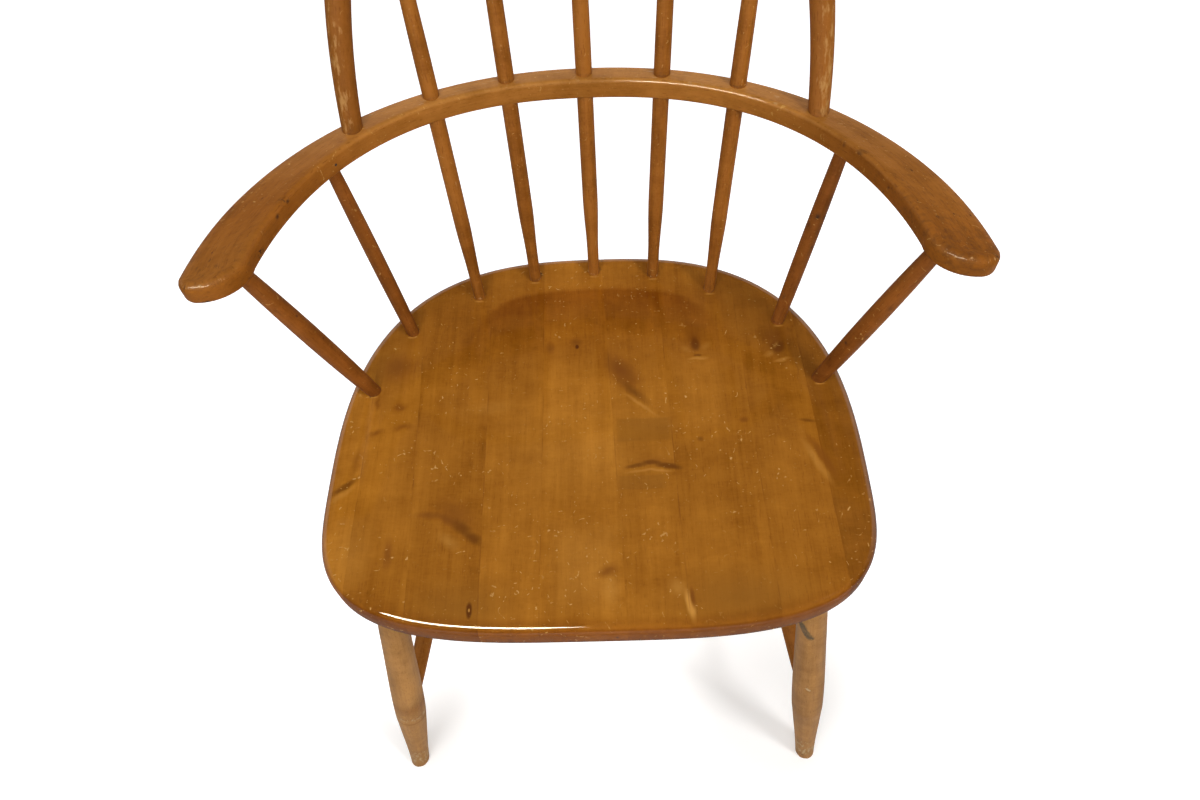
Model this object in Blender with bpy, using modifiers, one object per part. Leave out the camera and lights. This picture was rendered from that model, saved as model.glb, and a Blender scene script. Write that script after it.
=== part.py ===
"""Double-bow spindle armchair, modelled as it is built.

The seat is glued from staves and dished. Four raked legs are tied by an H of stretchers. Long spindles
run from the seat through a bent arm bow to a bent back hoop, and short spindles carry the arms. Every
turned piece ends in a round tenon, and its hole is drilled along the same axis.

Units are metres and +Z is up. The sitter faces -Y. While the chair is laid out, Y is 0 at the seat's
widest line and Z is 0 on the floor. At the end the whole chair moves so that the middle of its outer box
stands on the origin.
"""

import math

import bmesh
import bpy
from mathutils import Vector

# Fits
CLEARANCE = 0.0003  # between a tenon and its hole, and between glued staves
SHANK_CLEARANCE = 0.002  # straight shank that shows outside a hole before a taper starts
OVERRUN = 0.012  # how far a drill or a slab cutter runs past the wood

# Seat
SEAT_HEIGHT = 0.440
SEAT_THICKNESS = 0.030
SEAT_HALF_WIDTH = 0.256
SEAT_REAR_REACH = 0.282  # from the widest line to the rear edge
SEAT_FRONT_REACH = 0.147  # from the widest line to the front edge
SEAT_REAR_ROUNDNESS = 2.7  # 2 is an ellipse, more is squarer
SEAT_FRONT_ROUNDNESS = 3.5
SEAT_TOP_ROUND = 0.009
SEAT_UNDER_ROUND = 0.006
SEAT_RIM_POINTS = 64
SIDE_STAVE_WIDTH = 0.0475  # the joint runs between the front legs' holes and the arm spindles' holes
STAVE_JOINT_SHARES = (-0.66, -0.418, -0.203, 0.068, 0.291, 0.656)  # of the half width

# Dish in the seat
DISH_DEPTH = 0.008
DISH_SIDE_MARGIN = 0.051
DISH_REAR_MARGIN = 0.045
DISH_FRONT_MARGIN = 0.005
DISH_TILT = math.radians(0.7)  # deeper towards the rear, so the rear edge is crisp
DISH_RINGS = 6
DISH_SIDES = 40

# Arm bow
ARM_HEIGHT = 0.655  # floor to the top of the bow
BOW_THICKNESS = 0.020
BOW_REAR_DEPTH = 0.022
BOW_REAR_OVERHANG = 0.041  # the bow stands this far behind the seat
BOW_SIDE_OVERHANG = 0.0739  # and this far outside it, on the widest line of its outer curve
BOW_CENTRE_OFFSET = 0.010  # the widest line of both of its curves
BOW_OUTER_ROUNDNESS = 2.13
BOW_INNER_ROUNDNESS = 2.33
PADDLE_WIDTH = 0.051
HAND_SETBACK = 0.052  # from the bow's widest line back to the front of the hand
HAND_OUTER_CORNER = 0.013
HAND_INNER_CORNER = 0.036
BOW_TOP_ROUND = 0.0035
BOW_UNDER_ROUND = 0.0025
BOW_STEPS = 18
CORNER_STEPS = 5

# Back hoop
HOOP_RADIUS = 0.0110
HOOP_FOOT_RADIUS = 0.0094
HOOP_TAPER_HEIGHT = 0.100
HOOP_HEIGHT = 0.320  # bow top to the hoop's centre line at the crown
HOOP_LEAN = math.radians(25.0)
HOOP_ROUNDNESS = 2.15
HOOP_FOOT_ANGLE = math.radians(39.3)  # place on the bow's outer curve, from the rear
HOOP_FOOT_INSET = 0.0105  # from the bow's outer edge to the foot's centre
HOOP_TENON_RADIUS = 0.006
HOOP_TENON_DEPTH = 0.012
HOOP_STEPS = 18

# Long back spindles, as (angle on the bow, angle on the hoop) from the middle outwards
BACK_ANGLES = (
    (0.0, 0.0),
    (math.radians(11.7), math.radians(22.2)),
    (math.radians(25.1), math.radians(48.1)),
)
BACK_FOOT_RADIUS = 0.0060
BACK_BODY_RADIUS = 0.00775
BACK_TOP_RADIUS = 0.0050
BACK_SHANK_LENGTH = 0.025  # straight foot above the seat
BACK_TAPER_LENGTH = 0.065
SEAT_HOLE_DEPTH = 0.015

# Short arm spindles, with angles on the seat and on the bow
ARM_FRONT_ANGLES = (math.radians(71.7), math.radians(74.7))
ARM_REAR_ANGLES = (math.radians(50.4), math.radians(47.4))
ARM_FRONT_SHARE = 0.42  # 0 at the bow's inner edge, 1 at its outer edge
ARM_REAR_SHARE = 0.50
SPINDLE_SIDE_INSET = 0.0225  # line of the arm spindles inside the seat's rim
SPINDLE_REAR_INSET = 0.027
ARM_FRONT_FOOT_RADIUS = 0.0070
ARM_FRONT_BELLY_RADIUS = 0.0091
ARM_FRONT_TOP_RADIUS = 0.0066
ARM_REAR_FOOT_RADIUS = 0.0064
ARM_REAR_BELLY_RADIUS = 0.0075
ARM_REAR_TOP_RADIUS = 0.0060
BOW_HOLE_DEPTH = 0.012
SPINDLE_SIDES = 12

# Legs
LEG_TENON_RADIUS = 0.0105
LEG_TENON_DEPTH = 0.018
LEG_TOP_RADIUS = 0.0130
LEG_SWELL_RADIUS = 0.0174
LEG_SWELL_HEIGHT = 0.150
LEG_FOOT_RADIUS = 0.0116
LEG_SHOULDER_LENGTH = 0.012
FRONT_LEG_SIDE_INSET = 0.060  # from the seat's widest point
FRONT_LEG_FRONT_INSET = 0.0585  # from the seat's front edge
REAR_LEG_SHARE = 0.578  # of the seat's half width
REAR_LEG_REAR_INSET = 0.0866  # from the seat's rear edge
FRONT_LEG_SPLAY = math.radians(6.4)
FRONT_LEG_RAKE = math.radians(9.0)
REAR_LEG_SPLAY = math.radians(7.9)
REAR_LEG_RAKE = math.radians(15.0)
LEG_SIDES = 16

# Stretchers
STRETCHER_HEIGHT = 0.150
SIDE_STRETCHER_RADIUS = 0.0112
SIDE_STRETCHER_TENON = 0.0085
CROSS_STRETCHER_RADIUS = 0.0105
CROSS_STRETCHER_TENON = 0.0060

# Wood colours, linear
SEAT_COLOURS = ((0.36, 0.155, 0.026), (0.33, 0.135, 0.021), (0.38, 0.165, 0.030))
BOW_COLOUR = (0.27, 0.105, 0.024)
SPINDLE_COLOUR = (0.29, 0.105, 0.020)
LEG_COLOUR = (0.33, 0.155, 0.050)
WOOD_ROUGHNESS = 0.38

CHAIR = "spindle_armchair"
CUTTERS = "cutters"
SEAT_CUTTERS = "seat_cutters"
BOW_CUTTERS = "bow_cutters"
HOOP_CUTTERS = "hoop_cutters"
ROOT = "chair_root"
SIDES = (("left", -1), ("right", 1))

SEAT_UNDERSIDE = SEAT_HEIGHT - SEAT_THICKNESS
BOW_UNDERSIDE = ARM_HEIGHT - BOW_THICKNESS
BOW_MIDDLE = ARM_HEIGHT - BOW_THICKNESS / 2


# Scene, materials and objects


def clear_scene():
    for obj in list(bpy.data.objects):
        bpy.data.objects.remove(obj)


def set_up_collections():
    """The chair's own collection, one for its cutters, and the empty that carries everything."""
    chair = bpy.data.collections.new(CHAIR)
    cutters = bpy.data.collections.new(CUTTERS)
    bpy.context.scene.collection.children.link(chair)
    bpy.context.scene.collection.children.link(cutters)
    for name in (SEAT_CUTTERS, BOW_CUTTERS, HOOP_CUTTERS):
        cutters.children.link(bpy.data.collections.new(name))
    chair.objects.link(bpy.data.objects.new(ROOT, None))


def varnished_wood(name, colour):
    material = bpy.data.materials.new(name + "_wood")
    material.use_nodes = True
    shader = material.node_tree.nodes["Principled BSDF"]
    shader.inputs["Base Color"].default_value = (*colour, 1.0)
    shader.inputs["Roughness"].default_value = WOOD_ROUGHNESS
    shader.inputs["Metallic"].default_value = 0.0
    return material


def add_part(name, mesh, colour):
    part = bpy.data.objects.new(name, mesh)
    bpy.data.collections[CHAIR].objects.link(part)
    part.parent = bpy.data.objects[ROOT]
    mesh.materials.append(varnished_wood(name, colour))
    return part


def add_cutter(name, mesh, group=CUTTERS):
    cutter = bpy.data.objects.new(name, mesh)
    bpy.data.collections[group].objects.link(cutter)
    cutter.parent = bpy.data.objects[ROOT]
    cutter.hide_render = True
    cutter.display_type = "WIRE"
    return cutter


def cut(part, cutter, operation="DIFFERENCE"):
    """Cuts a part with one object, or with every object of a collection."""
    boolean = part.modifiers.new(cutter.name, "BOOLEAN")
    boolean.operation = operation
    boolean.solver = "EXACT"
    if isinstance(cutter, bpy.types.Collection):
        boolean.operand_type = "COLLECTION"
        boolean.collection = cutter
    else:
        boolean.object = cutter


def shade(mesh):
    mesh.shade_smooth()
    mesh.set_sharp_from_angle(angle=math.radians(35))


def slab_mesh(name, low, high):
    """A box between two corners."""
    mesh = bpy.data.meshes.new(name)
    bm = bmesh.new()
    bmesh.ops.create_cube(bm, size=1.0)
    bmesh.ops.scale(bm, vec=high - low, verts=bm.verts)
    bmesh.ops.translate(bm, vec=(low + high) / 2, verts=bm.verts)
    bm.to_mesh(mesh)
    bm.free()
    return mesh


# Turned pieces and drills


def turned_mesh(name, profile):
    """The outline of a turned piece, from (distance along the axis, radius) pairs in rising order."""
    outline = [(0.0, profile[0][0])]
    outline += [(radius, distance) for distance, radius in profile]
    outline += [(0.0, profile[-1][0])]
    mesh = bpy.data.meshes.new(name)
    points = [(radius, 0.0, distance) for radius, distance in reversed(outline)]
    mesh.from_pydata(points, [(i, i + 1) for i in range(len(points) - 1)], [])
    return mesh


def turn(obj, start, end, sides):
    """Turns an outline about its axis and lays the axis from start towards end."""
    screw = obj.modifiers.new("Turned", "SCREW")
    screw.axis = "Z"
    screw.steps = sides
    screw.render_steps = sides
    screw.use_merge_vertices = True
    screw.merge_threshold = 0.00001
    obj.location = start
    obj.rotation_mode = "QUATERNION"
    obj.rotation_quaternion = (end - start).to_track_quat("Z", "Y")


def drill(name, start, end, radius, sides, group=CUTTERS):
    """A round cutter along an axis, wider than the tenon by the clearance."""
    length = (end - start).length
    bore = radius + CLEARANCE
    cutter = add_cutter(name, turned_mesh(name, [(0.0, bore), (length, bore)]), group)
    turn(cutter, start, end, sides)
    return cutter


def swelling(start, end, start_radius, belly_radius, end_radius, steps):
    """Profile points between two distances whose radius swells smoothly to a belly in the middle."""
    points = []
    for i in range(steps + 1):
        share = i / steps
        straight = start_radius + (end_radius - start_radius) * share
        belly = belly_radius - (start_radius + end_radius) / 2
        points.append((start + (end - start) * share, straight + belly * (1 - (2 * share - 1) ** 2)))
    return points


def slant(direction, normal):
    """How far a direction runs for a unit of depth behind a face, and for a unit of radius across it."""
    cosine = abs(direction.normalized().dot(normal))
    return 1 / cosine, math.sqrt(1 - cosine * cosine) / cosine


# Plan curves of the seat and the bow


def superellipse(half_width, reach, roundness, angle):
    """A point at an angle from the Y axis: sideways position and reach."""
    sine, cosine = math.sin(angle), math.cos(angle)
    x = half_width * math.copysign(abs(sine) ** (2 / roundness), sine)
    y = reach * math.copysign(abs(cosine) ** (2 / roundness), cosine)
    return Vector((x, y))


def seat_curve(angle, side_inset=0.0, rear_inset=0.0):
    """The seat's outline at an angle from the rear, or a line inside it."""
    rear = math.cos(angle) >= 0
    reach = SEAT_REAR_REACH - rear_inset if rear else SEAT_FRONT_REACH
    roundness = SEAT_REAR_ROUNDNESS if rear else SEAT_FRONT_ROUNDNESS
    return superellipse(SEAT_HALF_WIDTH - side_inset, reach, roundness, angle)


def outer_bow_curve(angle):
    """The bow's outer edge."""
    half_width = SEAT_HALF_WIDTH + BOW_SIDE_OVERHANG
    reach = SEAT_REAR_REACH + BOW_REAR_OVERHANG - BOW_CENTRE_OFFSET
    return superellipse(half_width, reach, BOW_OUTER_ROUNDNESS, angle) + Vector((0.0, BOW_CENTRE_OFFSET))


def inner_bow_curve(angle):
    """The bow's inner edge, squarer than the outer one, so that the bow widens into the hands."""
    half_width = SEAT_HALF_WIDTH + BOW_SIDE_OVERHANG - PADDLE_WIDTH
    reach = SEAT_REAR_REACH + BOW_REAR_OVERHANG - BOW_REAR_DEPTH - BOW_CENTRE_OFFSET
    return superellipse(half_width, reach, BOW_INNER_ROUNDNESS, angle) + Vector((0.0, BOW_CENTRE_OFFSET))


def bow_curve(angle, share=0.5):
    """A line between the bow's edges."""
    return inner_bow_curve(angle).lerp(outer_bow_curve(angle), share)


def angle_at(curve, y):
    """The angle at which a curve that runs forwards comes down to a given Y."""
    low, high = 0.0, math.pi / 2
    for _ in range(40):
        middle = (low + high) / 2
        if curve(middle).y > y:
            low = middle
        else:
            high = middle
    return low


def evenly_spaced(points, count):
    """Points at equal distances along a closed line."""
    closed = points + points[:1]
    lengths = [(b - a).length for a, b in zip(closed, closed[1:])]
    spacing = sum(lengths) / count
    result, travelled, target = [], 0.0, 0.0
    for a, b, length in zip(closed, closed[1:], lengths):
        while target < travelled + length and len(result) < count:
            result.append(a.lerp(b, (target - travelled) / length))
            target += spacing
        travelled += length
    return result


def seat_outline():
    fine = SEAT_RIM_POINTS * 8
    return evenly_spaced([seat_curve(math.tau * i / fine) for i in range(fine)], SEAT_RIM_POINTS)


def bow_half_outline():
    """The bow's right half: outer edge, hand corners, inner edge."""
    front = BOW_CENTRE_OFFSET + HAND_SETBACK
    outer_end = angle_at(outer_bow_curve, front + HAND_OUTER_CORNER)
    inner_end = angle_at(inner_bow_curve, front + HAND_INNER_CORNER)
    outer = [outer_bow_curve(outer_end * i / BOW_STEPS) for i in range(BOW_STEPS + 1)]
    inner = [inner_bow_curve(inner_end * i / BOW_STEPS) for i in reversed(range(BOW_STEPS + 1))]
    tip_x = outer[-1].x - HAND_OUTER_CORNER
    corners = []
    for i in range(1, CORNER_STEPS + 1):
        turned = math.pi / 2 * i / CORNER_STEPS
        offset = Vector((math.cos(turned), 1 - math.sin(turned))) * HAND_OUTER_CORNER
        corners.append(Vector((tip_x, front)) + offset)
    for i in range(1, CORNER_STEPS):
        turned = math.pi / 2 * i / CORNER_STEPS
        width = tip_x - inner[0].x
        offset = Vector((-width * math.sin(turned), HAND_INNER_CORNER * (1 - math.cos(turned))))
        corners.append(Vector((tip_x, front)) + offset)
    return outer + corners + inner


def bow_outline():
    half = bow_half_outline()
    other = [Vector((-p.x, p.y)) for p in reversed(half[1:-1])]
    return half + other


def board_mesh(name, outline, top, thickness, top_round, under_round):
    """A flat board cut to an outline, with its upper and lower edges rounded."""
    bm = bmesh.new()
    face = bm.faces.new([bm.verts.new((p.x, p.y, top)) for p in outline])
    lower = bmesh.ops.extrude_face_region(bm, geom=[face])["geom"]
    moved = [item for item in lower if isinstance(item, bmesh.types.BMVert)]
    bmesh.ops.translate(bm, vec=(0.0, 0.0, -thickness), verts=moved)
    bmesh.ops.recalc_face_normals(bm, faces=bm.faces)
    for level, radius in ((top, top_round), (top - thickness, under_round)):
        rim = [e for e in bm.edges if all(abs(v.co.z - level) < CLEARANCE for v in e.verts)]
        bmesh.ops.bevel(
            bm, geom=rim, offset=radius, segments=2, profile=0.5, affect="EDGES", material=-1
        )
    mesh = bpy.data.meshes.new(name)
    bm.to_mesh(mesh)
    bm.free()
    shade(mesh)
    return mesh


# Seat


def add_dish_cutter():
    """A shallow lens, oval in plan, with a flaring wall above its rim."""
    rear = SEAT_REAR_REACH - DISH_REAR_MARGIN
    front = -SEAT_FRONT_REACH + DISH_FRONT_MARGIN
    half_length = (rear - front) / 2
    half_width = SEAT_HALF_WIDTH - DISH_SIDE_MARGIN
    profile = [(-DISH_DEPTH, half_length * 0.02)]
    for ring in range(1, DISH_RINGS + 1):
        share = ring / DISH_RINGS
        profile.append((-DISH_DEPTH * (1 - share**2), half_length * share))
    profile.append((OVERRUN, half_length + OVERRUN))
    cutter = add_cutter("dish_cutter", turned_mesh("dish_cutter", profile), SEAT_CUTTERS)
    centre = Vector((0.0, (rear + front) / 2, SEAT_HEIGHT))
    turn(cutter, centre, centre + Vector((0.0, math.sin(DISH_TILT), math.cos(DISH_TILT))), DISH_SIDES)
    cutter.scale = (half_width / half_length, 1.0, 1.0)


def add_seat():
    """Staves that share one blank, each kept between two glue joints."""
    reach = SEAT_HALF_WIDTH + OVERRUN
    outer = SEAT_HALF_WIDTH - SIDE_STAVE_WIDTH
    joints = [share * SEAT_HALF_WIDTH for share in STAVE_JOINT_SHARES]
    edges = (-reach, -outer, *joints, outer, reach)
    for number, (left, right) in enumerate(zip(edges, edges[1:]), start=1):
        name = f"seat_stave_{number}"
        blank = board_mesh(
            name, seat_outline(), SEAT_HEIGHT, SEAT_THICKNESS, SEAT_TOP_ROUND, SEAT_UNDER_ROUND
        )
        stave = add_part(name, blank, SEAT_COLOURS[number % len(SEAT_COLOURS)])
        front, rear = -SEAT_FRONT_REACH - OVERRUN, SEAT_REAR_REACH + OVERRUN
        low = Vector((left + CLEARANCE / 2, front, SEAT_UNDERSIDE - OVERRUN))
        high = Vector((right - CLEARANCE / 2, rear, SEAT_HEIGHT + OVERRUN))
        slab = add_cutter(f"stave_slab_{number}", slab_mesh(f"stave_slab_{number}", low, high))
        cut(stave, slab, "INTERSECT")
        cut(stave, bpy.data.collections[SEAT_CUTTERS])


# Arm bow and hoop


def add_arm_bow():
    mesh = board_mesh("arm_bow", bow_outline(), ARM_HEIGHT, BOW_THICKNESS, BOW_TOP_ROUND, BOW_UNDER_ROUND)
    bow = add_part("arm_bow", mesh, BOW_COLOUR)
    cut(bow, bpy.data.collections[BOW_CUTTERS])


def hoop_foot():
    """Centre of the hoop's right foot on the bow's top, set in from the outer edge."""
    step = math.radians(0.5)
    along = outer_bow_curve(HOOP_FOOT_ANGLE + step) - outer_bow_curve(HOOP_FOOT_ANGLE - step)
    inwards = Vector((along.y, -along.x)).normalized()
    return outer_bow_curve(HOOP_FOOT_ANGLE) + inwards * HOOP_FOOT_INSET


def hoop_point(angle):
    """The hoop's centre line, at 0 on its crown and a quarter turn at its feet."""
    foot = hoop_foot()
    place = superellipse(foot.x, HOOP_HEIGHT, HOOP_ROUNDNESS, angle)
    return Vector((place.x, foot.y + place.y * math.tan(HOOP_LEAN), ARM_HEIGHT + place.y))


def hoop_radius(rise):
    share = min(max(rise / HOOP_TAPER_HEIGHT, 0.0), 1.0)
    return HOOP_FOOT_RADIUS + (HOOP_RADIUS - HOOP_FOOT_RADIUS) * share


def hoop_mesh():
    """A bent round rod, thinner towards its feet, made from a bevelled curve."""
    lean = Vector((0.0, math.sin(HOOP_LEAN), math.cos(HOOP_LEAN)))
    quarter = [hoop_point(math.pi / 2 * (1 - (1 - i / HOOP_STEPS) ** 1.3)) for i in range(HOOP_STEPS + 1)]
    quarter.append(hoop_point(math.pi / 2) - lean * OVERRUN)
    path = [Vector((-p.x, p.y, p.z)) for p in reversed(quarter[1:])] + quarter
    curve = bpy.data.curves.new("hoop_path", "CURVE")
    curve.dimensions = "3D"
    curve.bevel_depth = HOOP_RADIUS
    curve.bevel_resolution = 4
    curve.use_fill_caps = True
    spline = curve.splines.new("POLY")
    spline.points.add(len(path) - 1)
    for point, place in zip(spline.points, path):
        point.co = (*place, 1.0)
        point.radius = hoop_radius(place.z - ARM_HEIGHT) / HOOP_RADIUS
    guide = bpy.data.objects.new("hoop_path", curve)
    bpy.context.scene.collection.objects.link(guide)
    bpy.context.view_layer.update()
    mesh = bpy.data.meshes.new_from_object(guide.evaluated_get(bpy.context.evaluated_depsgraph_get()))
    bpy.data.objects.remove(guide)
    bm = bmesh.new()
    bm.from_mesh(mesh)
    bmesh.ops.remove_doubles(bm, verts=bm.verts, dist=0.00001)
    bmesh.ops.recalc_face_normals(bm, faces=bm.faces)
    bm.to_mesh(mesh)
    bm.free()
    shade(mesh)
    return mesh


def add_back_hoop():
    """The hoop stands on the bow with a flat shoulder and a tenon at each foot."""
    hoop = add_part("back_hoop", hoop_mesh(), BOW_COLOUR)
    foot = hoop_foot()
    reach = Vector((foot.x + OVERRUN * 2, foot.y + OVERRUN * 2))
    low = Vector((-reach.x, foot.y - OVERRUN * 3, BOW_UNDERSIDE - OVERRUN))
    high = Vector((reach.x, reach.y, ARM_HEIGHT + CLEARANCE))
    cut(hoop, add_cutter("hoop_shoulder", slab_mesh("hoop_shoulder", low, high)))
    lean = Vector((0.0, math.sin(HOOP_LEAN), math.cos(HOOP_LEAN)))
    for side, sign in SIDES:
        top = Vector((sign * foot.x, foot.y, ARM_HEIGHT))
        tip = top - lean * HOOP_TENON_DEPTH
        root = top + lean * OVERRUN
        profile = [(0.0, HOOP_TENON_RADIUS), ((root - tip).length, HOOP_TENON_RADIUS)]
        name = f"hoop_tenon_{side}"
        tenon = add_cutter(name, turned_mesh(name, profile))
        turn(tenon, tip, root, SPINDLE_SIDES)
        cut(hoop, tenon, "UNION")
        hole_end = tip - lean * CLEARANCE
        drill(f"hoop_hole_{side}", hole_end, root, HOOP_TENON_RADIUS, SPINDLE_SIDES, BOW_CUTTERS)
    cut(hoop, bpy.data.collections[HOOP_CUTTERS])


# Spindles


def add_back_spindle(number, sign, bow_angle, hoop_angle):
    """A long spindle on the line from the hoop through the bow, carried on down into the seat."""
    on_hoop = hoop_point(hoop_angle)
    on_bow = bow_curve(bow_angle)
    top = Vector((sign * on_hoop.x, on_hoop.y, on_hoop.z))
    middle = Vector((sign * on_bow.x, on_bow.y, BOW_MIDDLE))
    rise = (top - middle).normalized()
    upright = Vector((0.0, 0.0, 1.0))
    per_depth, per_radius = slant(rise, upright)
    on_seat = middle - rise * (BOW_MIDDLE - SEAT_HEIGHT) * per_depth
    tip = on_seat - rise * SEAT_HOLE_DEPTH * per_depth
    length = (top - tip).length

    def along(point):
        return (point - tip).length

    step = math.radians(0.5)
    hoop_run = hoop_point(hoop_angle + step) - hoop_point(hoop_angle - step)
    hoop_run.x *= sign or 1
    along_hoop = abs(rise.dot(hoop_run.normalized()))
    side_on = math.sqrt(1 - along_hoop**2)
    entry = (HOOP_RADIUS + BACK_TOP_RADIUS * along_hoop) / side_on + SHANK_CLEARANCE
    through = BOW_THICKNESS / 2 * per_depth + BACK_BODY_RADIUS * per_radius + SHANK_CLEARANCE
    shank = along(on_seat) + BACK_SHANK_LENGTH
    profile = [
        (0.0, BACK_FOOT_RADIUS),
        (shank, BACK_FOOT_RADIUS),
        (shank + BACK_TAPER_LENGTH / 2, (BACK_FOOT_RADIUS + BACK_BODY_RADIUS) / 2),
        (shank + BACK_TAPER_LENGTH, BACK_BODY_RADIUS),
        (along(middle) + through, BACK_BODY_RADIUS),
        ((along(middle) + through + length - entry) / 2, (BACK_BODY_RADIUS * 2 + BACK_TOP_RADIUS) / 3),
        (length - entry, BACK_TOP_RADIUS),
        (length, BACK_TOP_RADIUS),
    ]
    name = f"back_spindle_{number}"
    spindle = add_part(name, turned_mesh(name, profile), SPINDLE_COLOUR)
    turn(spindle, tip, top, SPINDLE_SIDES)
    drill(
        f"seat_hole_back_{number}",
        tip - rise * CLEARANCE,
        on_seat + rise * OVERRUN,
        BACK_FOOT_RADIUS,
        SPINDLE_SIDES,
        SEAT_CUTTERS,
    )
    drill(
        f"bow_hole_back_{number}",
        middle - rise * (through + OVERRUN),
        middle + rise * (through + OVERRUN),
        BACK_BODY_RADIUS,
        SPINDLE_SIDES,
        BOW_CUTTERS,
    )
    drill(
        f"hoop_hole_back_{number}",
        top - rise * (entry + OVERRUN),
        top + rise * CLEARANCE,
        BACK_TOP_RADIUS,
        SPINDLE_SIDES,
        HOOP_CUTTERS,
    )


def add_back_spindles():
    """The middle spindle and its neighbours, numbered from the left."""
    outermost = len(BACK_ANGLES) - 1
    for place in range(-outermost, outermost + 1):
        bow_angle, hoop_angle = BACK_ANGLES[abs(place)]
        sign = (place > 0) - (place < 0)
        add_back_spindle(place + outermost + 1, sign, bow_angle, hoop_angle)


def add_arm_spindle(place, side, sign, angles, share, radii):
    """A short spindle from the seat's rim to the underside of the bow."""
    seat_angle, bow_angle = angles
    foot_radius, belly_radius, top_radius = radii
    foot = seat_curve(seat_angle, SPINDLE_SIDE_INSET, SPINDLE_REAR_INSET)
    head = bow_curve(bow_angle, share)
    on_seat = Vector((sign * foot.x, foot.y, SEAT_HEIGHT))
    on_bow = Vector((sign * head.x, head.y, BOW_UNDERSIDE))
    rise = (on_bow - on_seat).normalized()
    per_depth, per_radius = slant(rise, Vector((0.0, 0.0, 1.0)))
    tip = on_seat - rise * SEAT_HOLE_DEPTH * per_depth
    top = on_bow + rise * BOW_HOLE_DEPTH * per_depth
    length = (top - tip).length
    low = (on_seat - tip).length + foot_radius * per_radius + SHANK_CLEARANCE
    high = length - (top - on_bow).length - top_radius * per_radius - SHANK_CLEARANCE
    profile = [(0.0, foot_radius)]
    profile += swelling(low, high, foot_radius, belly_radius, top_radius, 6)
    profile += [(length, top_radius)]
    name = f"arm_spindle_{place}_{side}"
    spindle = add_part(name, turned_mesh(name, profile), SPINDLE_COLOUR)
    turn(spindle, tip, top, SPINDLE_SIDES)
    drill(
        f"seat_hole_{name}",
        tip - rise * CLEARANCE,
        on_seat + rise * OVERRUN,
        foot_radius,
        SPINDLE_SIDES,
        SEAT_CUTTERS,
    )
    drill(
        f"bow_hole_{name}",
        on_bow - rise * OVERRUN,
        top + rise * CLEARANCE,
        top_radius,
        SPINDLE_SIDES,
        BOW_CUTTERS,
    )


def add_arm_spindles():
    front_radii = (ARM_FRONT_FOOT_RADIUS, ARM_FRONT_BELLY_RADIUS, ARM_FRONT_TOP_RADIUS)
    rear_radii = (ARM_REAR_FOOT_RADIUS, ARM_REAR_BELLY_RADIUS, ARM_REAR_TOP_RADIUS)
    for side, sign in SIDES:
        add_arm_spindle("front", side, sign, ARM_FRONT_ANGLES, ARM_FRONT_SHARE, front_radii)
        add_arm_spindle("rear", side, sign, ARM_REAR_ANGLES, ARM_REAR_SHARE, rear_radii)


# Legs and stretchers


def leg_point(end, sign, height):
    """The leg's axis at a height."""
    drop = SEAT_UNDERSIDE - height
    if end == "front":
        x = SEAT_HALF_WIDTH - FRONT_LEG_SIDE_INSET + drop * math.tan(FRONT_LEG_SPLAY)
        y = -SEAT_FRONT_REACH + FRONT_LEG_FRONT_INSET - drop * math.tan(FRONT_LEG_RAKE)
    else:
        x = SEAT_HALF_WIDTH * REAR_LEG_SHARE + drop * math.tan(REAR_LEG_SPLAY)
        y = SEAT_REAR_REACH - REAR_LEG_REAR_INSET + drop * math.tan(REAR_LEG_RAKE)
    return Vector((sign * x, y, height))


def leg_profile(per_depth, per_radius):
    """Foot, low swell, long taper, shoulder and tenon, measured along the leg from below the floor."""

    def along(height):
        return (height + OVERRUN) * per_depth

    shank = along(SEAT_UNDERSIDE) - LEG_TENON_RADIUS * per_radius - SHANK_CLEARANCE
    shoulder = shank - LEG_SHOULDER_LENGTH
    swell = along(LEG_SWELL_HEIGHT)
    foot_slope = (LEG_SWELL_RADIUS - LEG_FOOT_RADIUS) / LEG_SWELL_HEIGHT
    blend = LEG_SWELL_HEIGHT * 0.2
    return [
        (0.0, LEG_FOOT_RADIUS - foot_slope * OVERRUN),
        (along(LEG_SWELL_HEIGHT - blend), LEG_SWELL_RADIUS - foot_slope * blend),
        (along(LEG_SWELL_HEIGHT - blend / 3), LEG_SWELL_RADIUS - foot_slope * blend / 6),
        (swell + blend / 2, LEG_SWELL_RADIUS),
        (swell + (shoulder - swell) * 0.5, LEG_TOP_RADIUS + (LEG_SWELL_RADIUS - LEG_TOP_RADIUS) * 0.6),
        (shoulder, LEG_TOP_RADIUS),
        (shoulder + LEG_SHOULDER_LENGTH * 0.6, LEG_TENON_RADIUS * 0.4 + LEG_TOP_RADIUS * 0.6),
        (shank, LEG_TENON_RADIUS),
        (along(SEAT_UNDERSIDE + LEG_TENON_DEPTH), LEG_TENON_RADIUS),
    ]


def add_leg(end, side, sign, floor):
    start = leg_point(end, sign, -OVERRUN)
    top = leg_point(end, sign, SEAT_UNDERSIDE + LEG_TENON_DEPTH)
    rise = (top - start).normalized()
    per_depth, per_radius = slant(rise, Vector((0.0, 0.0, 1.0)))
    name = f"leg_{end}_{side}"
    leg = add_part(name, turned_mesh(name, leg_profile(per_depth, per_radius)), LEG_COLOUR)
    turn(leg, start, top, LEG_SIDES)
    cut(leg, floor)
    drill(
        f"seat_hole_{name}",
        leg_point(end, sign, SEAT_UNDERSIDE - OVERRUN),
        top + rise * CLEARANCE,
        LEG_TENON_RADIUS,
        LEG_SIDES,
        SEAT_CUTTERS,
    )
    return leg


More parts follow.
